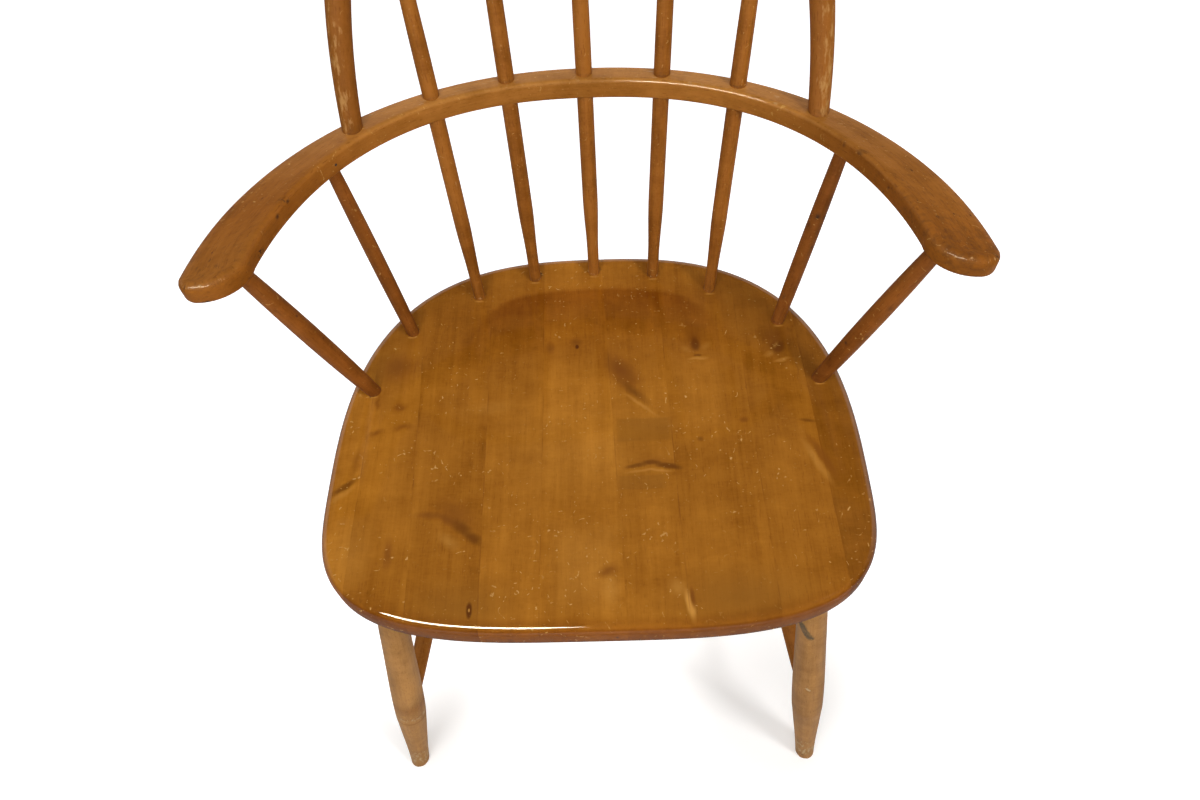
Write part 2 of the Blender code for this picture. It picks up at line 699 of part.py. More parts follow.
def add_stretcher(name, start, end, body_radius, tenon_radius, start_reach, end_reach):
    """A turned bar between two axes. The reaches are the radii of what it enters."""
    length = (end - start).length
    low = start_reach + SHANK_CLEARANCE * 2
    high = length - end_reach - SHANK_CLEARANCE * 2
    profile = [(0.0, tenon_radius)]
    profile += swelling(low, high, tenon_radius, body_radius, tenon_radius, 8)
    profile += [(length, tenon_radius)]
    bar = add_part(name, turned_mesh(name, profile), LEG_COLOUR)
    turn(bar, start, end, SPINDLE_SIDES)
    return bar


def bore_for(part, name, start, end, radius):
    """Drills a part for a bar's tenon, along the bar's own axis."""
    cut(part, drill(name + "_bore", start, end, radius, SPINDLE_SIDES))


def add_under_frame():
    """Legs, side stretchers between them, and the cross stretcher between those."""
    reach = SEAT_HALF_WIDTH + SEAT_REAR_REACH
    low = Vector((-reach, -reach, -OVERRUN * 3))
    floor = add_cutter("floor_slab", slab_mesh("floor_slab", low, Vector((reach, reach, 0.0))))
    bars = {}
    for side, sign in SIDES:
        front = leg_point("front", sign, STRETCHER_HEIGHT)
        rear = leg_point("rear", sign, STRETCHER_HEIGHT)
        run = (rear - front).normalized()
        name = f"side_stretcher_{side}"
        radius, reach = SIDE_STRETCHER_RADIUS, LEG_SWELL_RADIUS
        bars[sign] = add_stretcher(name, front, rear, radius, SIDE_STRETCHER_TENON, reach, reach)
        room = LEG_SWELL_RADIUS + OVERRUN
        front_leg = add_leg("front", side, sign, floor)
        tenon = SIDE_STRETCHER_TENON
        bore_for(front_leg, f"front_{side}", front - run * CLEARANCE, front + run * room, tenon)
        rear_leg = add_leg("rear", side, sign, floor)
        bore_for(rear_leg, f"rear_{side}", rear - run * room, rear + run * CLEARANCE, tenon)
    middles = {
        sign: (leg_point("front", sign, STRETCHER_HEIGHT) + leg_point("rear", sign, STRETCHER_HEIGHT)) / 2
        for _, sign in SIDES
    }
    left, right = middles[-1], middles[1]
    across = (right - left).normalized()
    add_stretcher(
        "cross_stretcher",
        left,
        right,
        CROSS_STRETCHER_RADIUS,
        CROSS_STRETCHER_TENON,
        SIDE_STRETCHER_RADIUS,
        SIDE_STRETCHER_RADIUS,
    )
    room = SIDE_STRETCHER_RADIUS + OVERRUN
    tenon = CROSS_STRETCHER_TENON
    bore_for(bars[-1], "cross_left", left - across * CLEARANCE, left + across * room, tenon)
    bore_for(bars[1], "cross_right", right - across * room, right + across * CLEARANCE, tenon)


def centre_on_floor():
    """Moves the whole chair so that the middle of its outer box stands on the origin."""
    bpy.context.view_layer.update()
    graph = bpy.context.evaluated_depsgraph_get()
    ys = []
    for part in bpy.data.collections[CHAIR].objects:
        if part.type == "MESH":
            solid = part.evaluated_get(graph)
            ys += [(solid.matrix_world @ v.co).y for v in solid.data.vertices]
    bpy.data.objects[ROOT].location.y = -(min(ys) + max(ys)) / 2


def main():
    clear_scene()
    set_up_collections()
    add_dish_cutter()
    add_seat()
    add_arm_bow()
    add_back_hoop()
    add_back_spindles()
    add_arm_spindles()
    add_under_frame()
    centre_on_floor()


main()
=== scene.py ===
"""Looks of a spindle armchair: glued seat, bent bow and hoop, turned spindles and legs, worn varnish."""

import logging
import math
from abc import ABC, abstractmethod
from dataclasses import dataclass, field, replace
from enum import Enum
from typing import Callable, Optional, Union

import bmesh
import bpy
from bmesh.types import BMEdge, BMesh, BMFace, BMVert
from bpy.types import ID, Material, Mesh, Node, NodeSocket, NodeTree, Object
from mathutils import Matrix, Vector


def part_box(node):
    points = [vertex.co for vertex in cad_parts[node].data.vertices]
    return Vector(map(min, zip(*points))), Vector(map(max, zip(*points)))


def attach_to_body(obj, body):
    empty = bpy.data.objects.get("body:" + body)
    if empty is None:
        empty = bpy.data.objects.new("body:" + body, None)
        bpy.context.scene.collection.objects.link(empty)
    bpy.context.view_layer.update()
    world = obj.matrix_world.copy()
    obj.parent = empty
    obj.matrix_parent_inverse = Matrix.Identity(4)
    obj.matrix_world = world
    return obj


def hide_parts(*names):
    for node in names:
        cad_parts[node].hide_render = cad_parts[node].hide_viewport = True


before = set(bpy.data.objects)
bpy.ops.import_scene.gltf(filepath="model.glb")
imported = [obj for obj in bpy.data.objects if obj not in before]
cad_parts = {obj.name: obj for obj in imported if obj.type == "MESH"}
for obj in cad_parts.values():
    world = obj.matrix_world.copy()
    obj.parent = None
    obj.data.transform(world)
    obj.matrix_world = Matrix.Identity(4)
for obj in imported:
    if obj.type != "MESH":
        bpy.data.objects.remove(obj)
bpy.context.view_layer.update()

LOG = logging.getLogger("armchair")
BODY = "root"
PHOTO_WIDTH = 1200
UP = Vector((0.0, 0.0, 1.0))
QUARTER_TURN = math.pi / 2
HIDDEN_END = 0.004  # length of a turned end inside the wood
MERGE_DISTANCE = 1e-6
TANGENT_STEP = math.radians(0.5)  # to both sides of a point at which a curve's direction is taken
NOISE_MEAN = 0.5
HALVINGS = 48  # steps of a search between two angles
GRAIN_APART = Vector((0.31, 0.17, 0.83))  # shift of the grain from one turned piece to the next

Pair = tuple[float, float]
Profile = list[Pair]  # distances along a turned piece, with the radius there
Triple = tuple[float, float, float]
Colour = Triple
Ring = list[BMVert]
Socket = NodeSocket
Value = Union[Socket, float, tuple]
WHITE: Colour = (1.0, 1.0, 1.0)


class Slot(Enum):
    """Material slots of the record."""

    SEAT = "seat_wood"
    BOW = "bow_wood"
    SPINDLE = "spindle_wood"
    LEG = "leg_wood"


class Layer(Enum):
    """Values kept on the points and faces of a mesh, which the finishes read."""

    GRAIN = "grain"
    # grime: dirt, and painted contact shade where parts meet and under the seat's rim
    GRIME = "grime"
    RUB = "rub"
    # shade: mostly painted shade; also dark lines at a leg's worn ring and the arms' darker tops
    SHADE = "shade"
    POLISH = "polish"
    SEAM = "seam"
    TONE = "tone"


class Side(Enum):
    """Sides as seen from the front: left is -X."""

    LEFT = -1
    RIGHT = 1


class Place(Enum):
    """Ends of the chair."""

    FRONT = "front"
    REAR = "rear"


Range = Pair  # values at which a smooth step is 0 and 1
Spread = Pair  # half length and strength of a band on a turned piece
Band = Triple  # distance along a turned piece, half length and strength
Stain = tuple[Vector, Vector, float, Layer]  # start, end, half width and layer of a mark in space
EdgePoint = tuple[int, int, bool]  # sign of the side, number along the edge, whether on the outer edge


# Numbers and curves


def smooth_step(low: float, high: float, value: float) -> float:
    """Rises smoothly from 0 at low to 1 at high, or falls where high is the lesser.

    Args:
        low: Value at which the result is 0.
        high: Value at which the result is 1.
        value: Value to place between them.

    Returns:
        A share from 0 to 1.
    """
    share = min(max((value - low) / (high - low), 0.0), 1.0)
    return share * share * (3.0 - 2.0 * share)


def superellipse(half_width: float, reach: float, roundness: float, angle: float) -> Vector:
    """A point on a superellipse, at an angle from the Y axis.

    Args:
        half_width: Half the width along X.
        reach: Reach along Y.
        roundness: Exponent; 2 is an ellipse, more is squarer.
        angle: Angle from the Y axis in radians.

    Returns:
        The plan point.
    """
    sine, cosine = math.sin(angle), math.cos(angle)
    x = half_width * math.copysign(abs(sine) ** (2.0 / roundness), sine)
    y = reach * math.copysign(abs(cosine) ** (2.0 / roundness), cosine)
    return Vector((x, y))


def angle_at(curve: Callable[[float], Vector], y: float) -> float:
    """Finds where a curve that runs forwards comes down to a given Y.

    Args:
        curve: Plan curve by angle from the rear.
        y: Y to reach.

    Returns:
        The angle in radians.
    """
    low, high = 0.0, QUARTER_TURN
    for _ in range(HALVINGS):
        middle = (low + high) / 2
        if curve(middle).y > y:
            low = middle
        else:
            high = middle
    return low


def evenly_spaced(points: list[Vector], count: int) -> list[Vector]:
    """Spaces points equally along a closed line.

    Args:
        points: Points of the line in order.
        count: Number of points wanted.

    Returns:
        The evenly spaced points.
    """
    closed = points + points[:1]
    lengths = [(b - a).length for a, b in zip(closed, closed[1:])]
    spacing = sum(lengths) / count
    result: list[Vector] = []
    travelled = 0.0
    for a, b, length in zip(closed, closed[1:], lengths):
        while len(result) < count and len(result) * spacing < travelled + length:
            result.append(a.lerp(b, (len(result) * spacing - travelled) / length))
        travelled += length
    return result


def outward_normals(points: list[Vector]) -> list[Vector]:
    """Plan normals of a closed line that runs clockwise seen from above.

    Args:
        points: Points of the line in order.

    Returns:
        One unit vector a point, facing away from the inside.
    """
    count = len(points)
    runs = [points[(i + 1) % count] - points[i - 1] for i in range(count)]
    return [Vector((-run.y, run.x)).normalized() for run in runs]


def smooth_profile(keys: Profile, spacing: float) -> Profile:
    """Runs a smooth line through the key points of a turned profile.

    Args:
        keys: (distance, radius) pairs in rising order of distance.
        spacing: Largest distance between two points of the result.

    Returns:
        A finer list of (distance, radius) pairs.
    """
    slopes = []
    for i, (distance, radius) in enumerate(keys):
        before, after = keys[max(i - 1, 0)], keys[min(i + 1, len(keys) - 1)]
        left = (radius - before[1]) / (distance - before[0]) if i else 0.0
        right = (after[1] - radius) / (after[0] - distance) if i < len(keys) - 1 else 0.0
        slopes.append(2 * left * right / (left + right) if left * right > 0 else 0.0)
    result = [keys[0]]
    for (a, ra), (b, rb), sa, sb in zip(keys, keys[1:], slopes, slopes[1:]):
        steps = max(math.ceil((b - a) / spacing), 1)
        for step in range(1, steps + 1):
            t = step / steps
            rise = (b - a) * (t * (1 - t) ** 2 * sa - t * t * (1 - t) * sb)
            result.append((a + (b - a) * t, ra + (rb - ra) * t * t * (3 - 2 * t) + rise))
    return result


def bellied(length: float, radii: Triple, steps: int) -> Profile:
    """The profile of a bar that swells to its middle.

    Args:
        length: Length of the bar.
        radii: Radius at its start, middle and end.
        steps: Number of steps.

    Returns:
        (distance, radius) pairs.
    """
    low, belly, high = radii
    keys = []
    for step in range(steps + 1):
        share = step / steps
        swell = (belly - (low + high) / 2) * (1 - (2 * share - 1) ** 2)
        keys.append((length * share, low + (high - low) * share + swell))
    return keys


@dataclass(frozen=True)
class Plan:
    """Plan curves that seat, bow, hoop and spindles share, in the chair's own frame.

    Attributes:
        middle: Y of the seat's widest line, from which the reaches count.
    """

    middle: float
    seat_top: float
    seat_underside: float
    bow_top: float
    bow_underside: float
    seat_half_width: float = 0.256
    seat_rear_reach: float = 0.282
    seat_front_reach: float = 0.147
    seat_rear_roundness: float = 2.7
    seat_front_roundness: float = 3.5
    bow_side_overhang: float = 0.0739
    bow_rear_overhang: float = 0.041
    bow_rear_depth: float = 0.022
    bow_offset: float = 0.010
    bow_outer_roundness: float = 2.13
    bow_inner_roundness: float = 2.33
    paddle_width: float = 0.051
    hoop_foot_angle: float = math.radians(39.3)
    hoop_foot_inset: float = 0.0105
    hoop_height: float = 0.320
    hoop_lean: float = math.radians(25.0)
    hoop_roundness: float = 2.15

    @classmethod
    def from_frame(cls) -> "Plan":
        """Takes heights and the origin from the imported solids.

        Returns:
            The plan.
        """
        seat_low, seat_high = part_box("seat_stave_5")
        bow_low, bow_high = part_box("arm_bow")
        middle = bow_high.y - cls.seat_rear_reach - cls.bow_rear_overhang
        return cls(middle, seat_high.z, seat_low.z, bow_high.z, bow_low.z)

    def placed(self, point: Vector) -> Vector:
        """Moves a plan point from the seat's widest line to the chair's frame."""
        return Vector((point.x, point.y + self.middle))

    def seat(self, angle: float, side_inset: float = 0.0, rear_inset: float = 0.0) -> Vector:
        """The seat's outline, or a line inside its rear half.

        Args:
            angle: Angle from the rear in radians.
            side_inset: Distance inside the widest line.
            rear_inset: Distance inside the rear edge.

        Returns:
            The plan point.
        """
        rear = math.cos(angle) >= 0
        reach = self.seat_rear_reach - rear_inset if rear else self.seat_front_reach
        roundness = self.seat_rear_roundness if rear else self.seat_front_roundness
        return self.placed(superellipse(self.seat_half_width - side_inset, reach, roundness, angle))

    def bow(self, angle: float, share: float) -> Vector:
        """A line of the bow, from its inner edge at share 0 to its outer edge at share 1.

        Args:
            angle: Angle from the rear in radians.
            share: Place between the edges.

        Returns:
            The plan point.
        """
        width = self.seat_half_width + self.bow_side_overhang
        reach = self.seat_rear_reach + self.bow_rear_overhang - self.bow_offset
        outer = superellipse(width, reach, self.bow_outer_roundness, angle)
        inner = superellipse(
            width - self.paddle_width, reach - self.bow_rear_depth, self.bow_inner_roundness, angle
        )
        return self.placed(inner.lerp(outer, share) + Vector((0.0, self.bow_offset)))

    def bow_inwards(self, angle: float, share: float) -> Vector:
        """Direction to the bow's inside, square to one of its lines.

        Args:
            angle: Angle from the rear in radians.
            share: Place between the edges.

        Returns:
            The plan direction.
        """
        along = self.bow(angle + TANGENT_STEP, share) - self.bow(angle - TANGENT_STEP, share)
        return Vector((along.y, -along.x)).normalized()

    def hoop_foot(self) -> Vector:
        """Plan point of the hoop's right foot, set in from the bow's outer edge.

        Returns:
            The plan point.
        """
        inwards = self.bow_inwards(self.hoop_foot_angle, 1.0)
        return self.bow(self.hoop_foot_angle, 1.0) + inwards * self.hoop_foot_inset

    def hoop(self, angle: float) -> Vector:
        """The hoop's centre line, at 0 on its crown and a quarter turn at its feet.

        Args:
            angle: Angle from the crown in radians.

        Returns:
            The point in space.
        """
        foot = self.hoop_foot()
        place = superellipse(foot.x, self.hoop_height, self.hoop_roundness, angle)
        return Vector((place.x, foot.y + place.y * math.tan(self.hoop_lean), self.bow_top + place.y))


# Shader graphs


class NodeGraph:
    """Adds nodes to a tree and links them, so that an effect reads as a list of steps."""

    mix_colours = (6, 7)  # numbers of a Mix node's colour inputs
    mix_result = 2  # number of its colour output

    def __init__(self, tree: NodeTree) -> None:
        """Works on one tree."""
        self.tree = tree

    def node(self, kind: str, **settings: object) -> Node:
        """Adds a node.

        Args:
            kind: Type of the node without its ShaderNode prefix.
            settings: Properties to set on it.

        Returns:
            The node.
        """
        node = self.tree.nodes.new("ShaderNode" + kind)
        for key, value in settings.items():
            setattr(node, key, value)
        return node

    def feed(self, socket: Socket, value: Value) -> None:
        """Links a socket to another, or sets its value.

        Args:
            socket: Input to feed.
            value: Output socket, number or tuple.
        """
        if isinstance(value, Socket):
            self.tree.links.new(value, socket)
        elif isinstance(value, tuple) and socket.type == "RGBA":
            socket.default_value = (*value, 1.0)
        else:
            socket.default_value = value

    def step(self, node: Node, *values: Value) -> Socket:
        """Feeds a node's first inputs.

        Args:
            node: The node.
            values: What feeds its inputs, in their order.

        Returns:
            The node's first output.
        """
        for socket, value in zip(node.inputs, values):
            self.feed(socket, value)
        return node.outputs[0]

    def math(self, operation: str, a: Value, b: Value = 0.0, clamp: bool = False) -> Socket:
        """One step of arithmetic, kept between 0 and 1 where clamp is set."""
        return self.step(self.node("Math", operation=operation, use_clamp=clamp), a, b)

    def vector(self, operation: str, a: Value, b: Value) -> Socket:
        """One step of arithmetic with two vectors."""
        return self.step(self.node("VectorMath", operation=operation), a, b)

    def split(self, vector: Value) -> list[Socket]:
        """The three parts of a vector."""
        node = self.node("SeparateXYZ")
        return [self.step(node, vector), *node.outputs[1:]]

    def ramp(self, value: Value, low: Value, high: Value, start: Value = 0.0, end: Value = 1.0) -> Socket:
        """Maps the range from low to high smoothly to the one from start to end."""
        node = self.node("MapRange", interpolation_type="SMOOTHSTEP")
        return self.step(node, value, low, high, start, end)

    def mix(self, factor: Value, a: Value, b: Value, blend: str = "MIX") -> Socket:
        """Mixes two colours.

        Args:
            factor: Share of the second colour.
            a: First colour.
            b: Second colour.
            blend: Way of mixing.

        Returns:
            The colour's socket.
        """
        node = self.node("Mix", data_type="RGBA", blend_type=blend, clamp_factor=True)
        self.feed(node.inputs[0], factor)
        for number, colour in zip(self.mix_colours, (a, b)):
            self.feed(node.inputs[number], colour)
        return node.outputs[self.mix_result]

    def attribute(self, layer: Layer, output: str = "Fac") -> Socket:
        """Reads a layer of the mesh."""
        return self.node("Attribute", attribute_type="GEOMETRY", attribute_name=layer.value).outputs[output]

    def group(self, tree: NodeTree, **values: Value) -> Node:
        """Places a node group.

        Args:
            tree: The group's tree.
            values: What feeds its inputs, by input name with _ for a space.

        Returns:
            The group node.
        """
        node = self.node("Group", node_tree=tree)
        for key, value in values.items():
            self.feed(node.inputs[key.replace("_", " ")], value)
        return node


def new_material(name: str) -> tuple[Material, NodeGraph, Node]:
    """Starts a material.

    Args:
        name: Name of the finish.

    Returns:
        The material, its graph and its shader.
    """
    material = bpy.data.materials.new(name)
    material.use_nodes = True
    return material, NodeGraph(material.node_tree), material.node_tree.nodes["Principled BSDF"]


@dataclass(frozen=True)
class Cloud:
    """Cloudy noise.

    Attributes:
        scale: Features in a metre.
        detail: Octaves.
        roughness: Strength of the finer octaves.
        stretch: Scale of the coordinates; a small one gives longer features.
        strength: How far it swings a tone.
    """

    scale: float
    detail: float
    roughness: float = 0.5
    stretch: Optional[Triple] = None
    strength: float = 1.0

    def node(self, graph: NodeGraph, vector: Value) -> Node:
        """Adds the noise.

        Args:
            graph: Graph to build in.
            vector: Coordinates in metres.

        Returns:
            The noise node.
        """
        if self.stretch:
            vector = graph.vector("MULTIPLY", vector, self.stretch)
        node = graph.node("TexNoise")
        graph.feed(node.inputs["Vector"], vector)
        node.inputs["Scale"].default_value = self.scale
        node.inputs["Detail"].default_value = self.detail
        node.inputs["Roughness"].default_value = self.roughness
        return node

    def value(self, graph: NodeGraph, vector: Value) -> Socket:
        """The noise as a number around its mean."""
        return self.node(graph, vector).outputs[0]


@dataclass(frozen=True)
class Scatter:
    """Small marks scattered over the wood.

    Attributes:
        scale: Possible marks in a metre.
        size: Radius of a mark, as a share of their spacing.
        rarity: Share of the places left bare.
        stretch: Scale of the coordinates; a small one gives longer marks.
        weakest: Strength of the faintest mark.
    """

    scale: float
    size: float
    rarity: float
    stretch: Triple
    weakest: float = 0.45

    def mask(self, graph: NodeGraph, vector: Socket) -> Socket:
        """Adds the marks.

        Args:
            graph: Graph to build in.
            vector: Coordinates in metres.

        Returns:
            The marks' mask.
        """
        cells = graph.node("TexVoronoi", feature="F1")
        graph.feed(cells.inputs["Vector"], graph.vector("MULTIPLY", vector, self.stretch))
        cells.inputs["Scale"].default_value = self.scale
        chance = graph.node("SeparateColor")
        graph.feed(chance.inputs[0], cells.outputs["Color"])
        here = graph.math("GREATER_THAN", chance.outputs[0], self.rarity)
        reach = graph.math("MULTIPLY", chance.outputs[1], self.size)
        mark = graph.ramp(cells.outputs["Distance"], reach, 0.0)
        strength = graph.ramp(chance.outputs[2], 0.0, 1.0, self.weakest, 1.0)
        return graph.math("MULTIPLY", graph.math("MULTIPLY", mark, here), strength)


class Effect(ABC):
    """A node group that several finishes share, built once; its sockets are kept as kinds by name."""

    name: str
    inputs: dict[str, str]
    outputs: dict[str, str]

    @classmethod
    def tree(cls) -> NodeTree:
        """Makes the group at first use.

        Returns:
            The group's tree.
        """
        known = bpy.data.node_groups.get(cls.name)
        if known:
            return known
        tree = bpy.data.node_groups.new(cls.name, "ShaderNodeTree")
        for direction, sockets in (("INPUT", cls.inputs), ("OUTPUT", cls.outputs)):
            for name, kind in sockets.items():
                tree.interface.new_socket(name=name, in_out=direction, socket_type="NodeSocket" + kind)
        graph = NodeGraph(tree)
        given = tree.nodes.new("NodeGroupInput").outputs
        results = cls.steps(graph, {name: given[name] for name in cls.inputs})
        ends = tree.nodes.new("NodeGroupOutput").inputs
        for name, socket in results.items():
            graph.feed(ends[name], socket)
        return tree

    @classmethod
    @abstractmethod
    def steps(cls, graph: NodeGraph, given: dict[str, Socket]) -> dict[str, Socket]:
        """Builds the group's inside.

        Args:
            graph: Graph to build in.
            given: The group's inputs by name.

        Returns:
            The group's outputs by name.
        """


class Grain(Effect):
    """Close birch grain along the third axis.

    Attributes:
        streaks: Bands, clouds of stain, ripples, silk, lines and fine lines.
        fleck: Noise that the short pores are cut from.
        depth: Share of lines and pores in the height.
    """

    name = "birch_grain"
    inputs = {"Vector": "Vector", "Light": "Color", "Dark": "Color", "Contrast": "Float", "Pores": "Float"}
    outputs = {"Color": "Color", "Height": "Float"}
    streaks = (
        Cloud(75.0, 3.0, 0.55, (1.0, 1.0, 0.07), 0.9),
        Cloud(13.0, 3.0, 0.55, (1.0, 1.0, 0.6), 1.9),
        Cloud(60.0, 3.0, 0.55, (0.6, 1.0, 1.0), 1.1),
        Cloud(520.0, 2.0, 0.55, (0.30, 1.0, 1.0), 0.5),
        Cloud(210.0, 2.0, 0.55, (1.0, 1.0, 0.05), 0.5),
        Cloud(480.0, 2.0, 0.55, (1.0, 1.0, 0.03), 0.5),
    )
    fleck = Cloud(1100.0, 1.0, stretch=(1.0, 1.0, 0.11))
    pore_range = (0.60, 0.72)
    pore_tint = (0.55, 0.47, 0.40)
    depth = 0.5

    @classmethod
    def steps(cls, graph: NodeGraph, given: dict[str, Socket]) -> dict[str, Socket]:
        """Builds the grain.

        Args:
            graph: Graph to build in.
            given: The group's inputs by name.

        Returns:
            The wood's colour and height.
        """
        vector = given["Vector"]
        swing: Value = 0.0
        for streak in cls.streaks:
            lines = graph.math("SUBTRACT", streak.value(graph, vector), NOISE_MEAN)
            lines = graph.math("MULTIPLY", lines, streak.strength)
            swing = graph.math("ADD", swing, lines)
        tone = graph.math("ADD", graph.math("MULTIPLY", swing, given["Contrast"]), NOISE_MEAN, clamp=True)
        colour = graph.mix(tone, given["Dark"], given["Light"])
        pores = graph.ramp(cls.fleck.value(graph, vector), *cls.pore_range)
        share = graph.math("MULTIPLY", pores, given["Pores"])
        colour = graph.mix(share, colour, cls.pore_tint, "MULTIPLY")
        height = graph.math("MULTIPLY", graph.math("SUBTRACT", lines, pores), cls.depth)
        return {"Color": colour, "Height": height}


class WearAndShade(Effect):
    """Use and age, and painted shade: the Shade input darkens the colour as painted shade; grime that
    gathers, which also carries painted contact shade where parts meet; varnish rubbed pale; and small dents.

    A range gives the values at which a mask starts and is full, and its strength there if that isn't 0 and 1.

    Attributes:
        spots: Dark spots on dirty wood.
        dots: Round dents.
        marks: Short nicks and scratches across the grain.
        curls: Noise whose level lines are hairline scratches, which the gaps break.
        crowd: Noise that gathers the dents.
        dulled: Roughness that grime, rubbing and dents add.
    """

    name = "varnish_wear"
    colours = dict.fromkeys(("Color", "Grime Color", "Rub Color", "Dent Color"), "Color")
    amounts = dict.fromkeys(("Shade", "Grime", "Rub", "Dents", "Gloss"), "Float")
    inputs = {"Vector": "Vector", **colours, **amounts}
    outputs = {"Color": "Color", "Roughness": "Float", "Height": "Float"}
    specks = Cloud(210.0, 4.0, 0.65)
    speck_share = 0.7
    grime_range = (0.55, 1.05)
    spots = Scatter(95.0, 0.55, 0.25, (1.0, 1.0, 0.75))
    spot_range = (0.42, 0.58, 0.0, 2.4)
    dirty_range = (0.06, 0.26)
    rubs = Cloud(280.0, 4.0, 0.6, (1.0, 1.0, 0.30))
    rub_share = 0.9
    rub_range = (0.74, 0.92)
    dots = Scatter(120.0, 0.15, 0.45, (1.0, 1.0, 0.8))
    marks = (Scatter(230.0, 0.24, 0.35, (0.6, 1.0, 1.0)), Scatter(130.0, 0.09, 0.35, (0.18, 1.0, 1.0)))
    curls = Cloud(48.0, 1.0)
    curl_range = (0.015, 0.004)
    gaps = Cloud(260.0, 2.0)
    gap_range = (0.57, 0.66)
    crowd = Cloud(16.0, 2.0)
    crowd_range = (0.40, 0.62, 0.18, 1.0)
    shade_tint = (0.60, 0.46, 0.26)
    sheen = Cloud(26.0, 3.0)
    sheen_share = 0.14
    dulled = (0.12, 0.16, 0.2)
    speck_height = 0.12
    rub_height = 0.2

    @classmethod
    def steps(cls, graph: NodeGraph, given: dict[str, Socket]) -> dict[str, Socket]:
        """Builds the wear.

        Args:
            graph: Graph to build in.
            given: The group's inputs by name.

        Returns:
            The worn colour, roughness and height.
        """
        vector = given["Vector"]
        specks = cls.specks.value(graph, vector)
        # The Grime input holds dirt and painted contact shade.
        grime = graph.math("ADD", graph.math("MULTIPLY", specks, cls.speck_share), given["Grime"])
        grime = graph.ramp(grime, *cls.grime_range)
        spots = graph.math("MULTIPLY", cls.spots.mask(graph, vector), graph.ramp(specks, *cls.spot_range))
        spots = graph.math("MULTIPLY", spots, graph.ramp(given["Grime"], *cls.dirty_range))
        grime = graph.math("MAXIMUM", grime, spots)
        rub = graph.math("MULTIPLY", cls.rubs.value(graph, vector), cls.rub_share)
        rub = graph.ramp(graph.math("ADD", rub, given["Rub"]), *cls.rub_range)
        dents = cls.dents(graph, vector, given["Dents"])
        # Painted shade: the Shade input multiplies the colour by shade_tint.
        colour = graph.mix(given["Shade"], given["Color"], cls.shade_tint, "MULTIPLY")
        colour = graph.mix(grime, colour, given["Grime Color"])
        colour = graph.mix(rub, colour, given["Rub Color"])
        colour = graph.mix(dents, colour, given["Dent Color"])
        sheen = graph.math("MULTIPLY", cls.sheen.value(graph, vector), cls.sheen_share)
        roughness = graph.math("ADD", given["Gloss"], sheen)
        for mask, amount in zip((grime, rub, dents), cls.dulled):
            roughness = graph.math("ADD", roughness, graph.math("MULTIPLY", mask, amount))
        height = graph.math("SUBTRACT", graph.math("MULTIPLY", specks, cls.speck_height), dents)
        height = graph.math("SUBTRACT", height, graph.math("MULTIPLY", rub, cls.rub_height))
        return {"Color": colour, "Roughness": roughness, "Height": height}

    @classmethod
    def dents(cls, graph: NodeGraph, vector: Socket, strength: Socket) -> Socket:
        """Dents, nicks and hairline scratches, more in some places than in others.

        Args:
            graph: Graph to build in.
            vector: Coordinates in metres.
            strength: How much they show.

        Returns:
            Their mask.
        """
        dents = cls.dots.mask(graph, vector)
        level = graph.math("SUBTRACT", cls.curls.value(graph, vector), NOISE_MEAN)
        hairline = graph.ramp(graph.math("ABSOLUTE", level), *cls.curl_range)
        broken = graph.ramp(cls.gaps.value(graph, vector), *cls.gap_range)
        crowd = graph.ramp(cls.crowd.value(graph, vector), *cls.crowd_range)
        scratches = [graph.math("MULTIPLY", hairline, broken)]
        for more in [marks.mask(graph, vector) for marks in cls.marks] + scratches:
            dents = graph.math("MAXIMUM", dents, more)
        return graph.math("MULTIPLY", graph.math("MULTIPLY", dents, crowd), strength)


class Figure(Effect):
    """A knot, flame or stain in the grain: a wavy-edged ellipse or rectangle with a soft rim."""

    name = "grain_figure"
    places = ("X", "Y", "Wobble X", "Wobble Y", "Centre X", "Centre Y")
    inputs = dict.fromkeys((*places, "Turn", "Length", "Width", "Core", "Wave", "Square"), "Float")
    outputs = {"Mask": "Float"}

    @classmethod
    def steps(cls, graph: NodeGraph, given: dict[str, Socket]) -> dict[str, Socket]:
        """Builds the figure.

        Args:
            graph: Graph to build in.
            given: The group's inputs by name.

        Returns:
            The figure's mask.
        """
        sine = graph.math("SINE", given["Turn"])
        cosine = graph.math("COSINE", given["Turn"])
        x, y = (
            graph.math(
                "ADD",
                graph.math("SUBTRACT", given[axis], given["Centre " + axis]),
                graph.math("MULTIPLY", given["Wobble " + axis], given["Wave"]),
            )
            for axis in "XY"
        )
        along = graph.math("ADD", graph.math("MULTIPLY", x, cosine), graph.math("MULTIPLY", y, sine))
        across = graph.math("SUBTRACT", graph.math("MULTIPLY", y, cosine), graph.math("MULTIPLY", x, sine))
        along = graph.math("DIVIDE", along, given["Length"])
        across = graph.math("DIVIDE", across, given["Width"])
        squares = graph.math("MULTIPLY", along, along)
        squares = graph.math("ADD", squares, graph.math("MULTIPLY", across, across))
        rounded = graph.math("SQRT", squares)
        squared = graph.math("MAXIMUM", graph.math("ABSOLUTE", along), graph.math("ABSOLUTE", across))
        gap = graph.math("MULTIPLY", graph.math("SUBTRACT", squared, rounded), given["Square"])
        return {"Mask": graph.ramp(graph.math("ADD", rounded, gap), 1.0, given["Core"])}


# Finishes


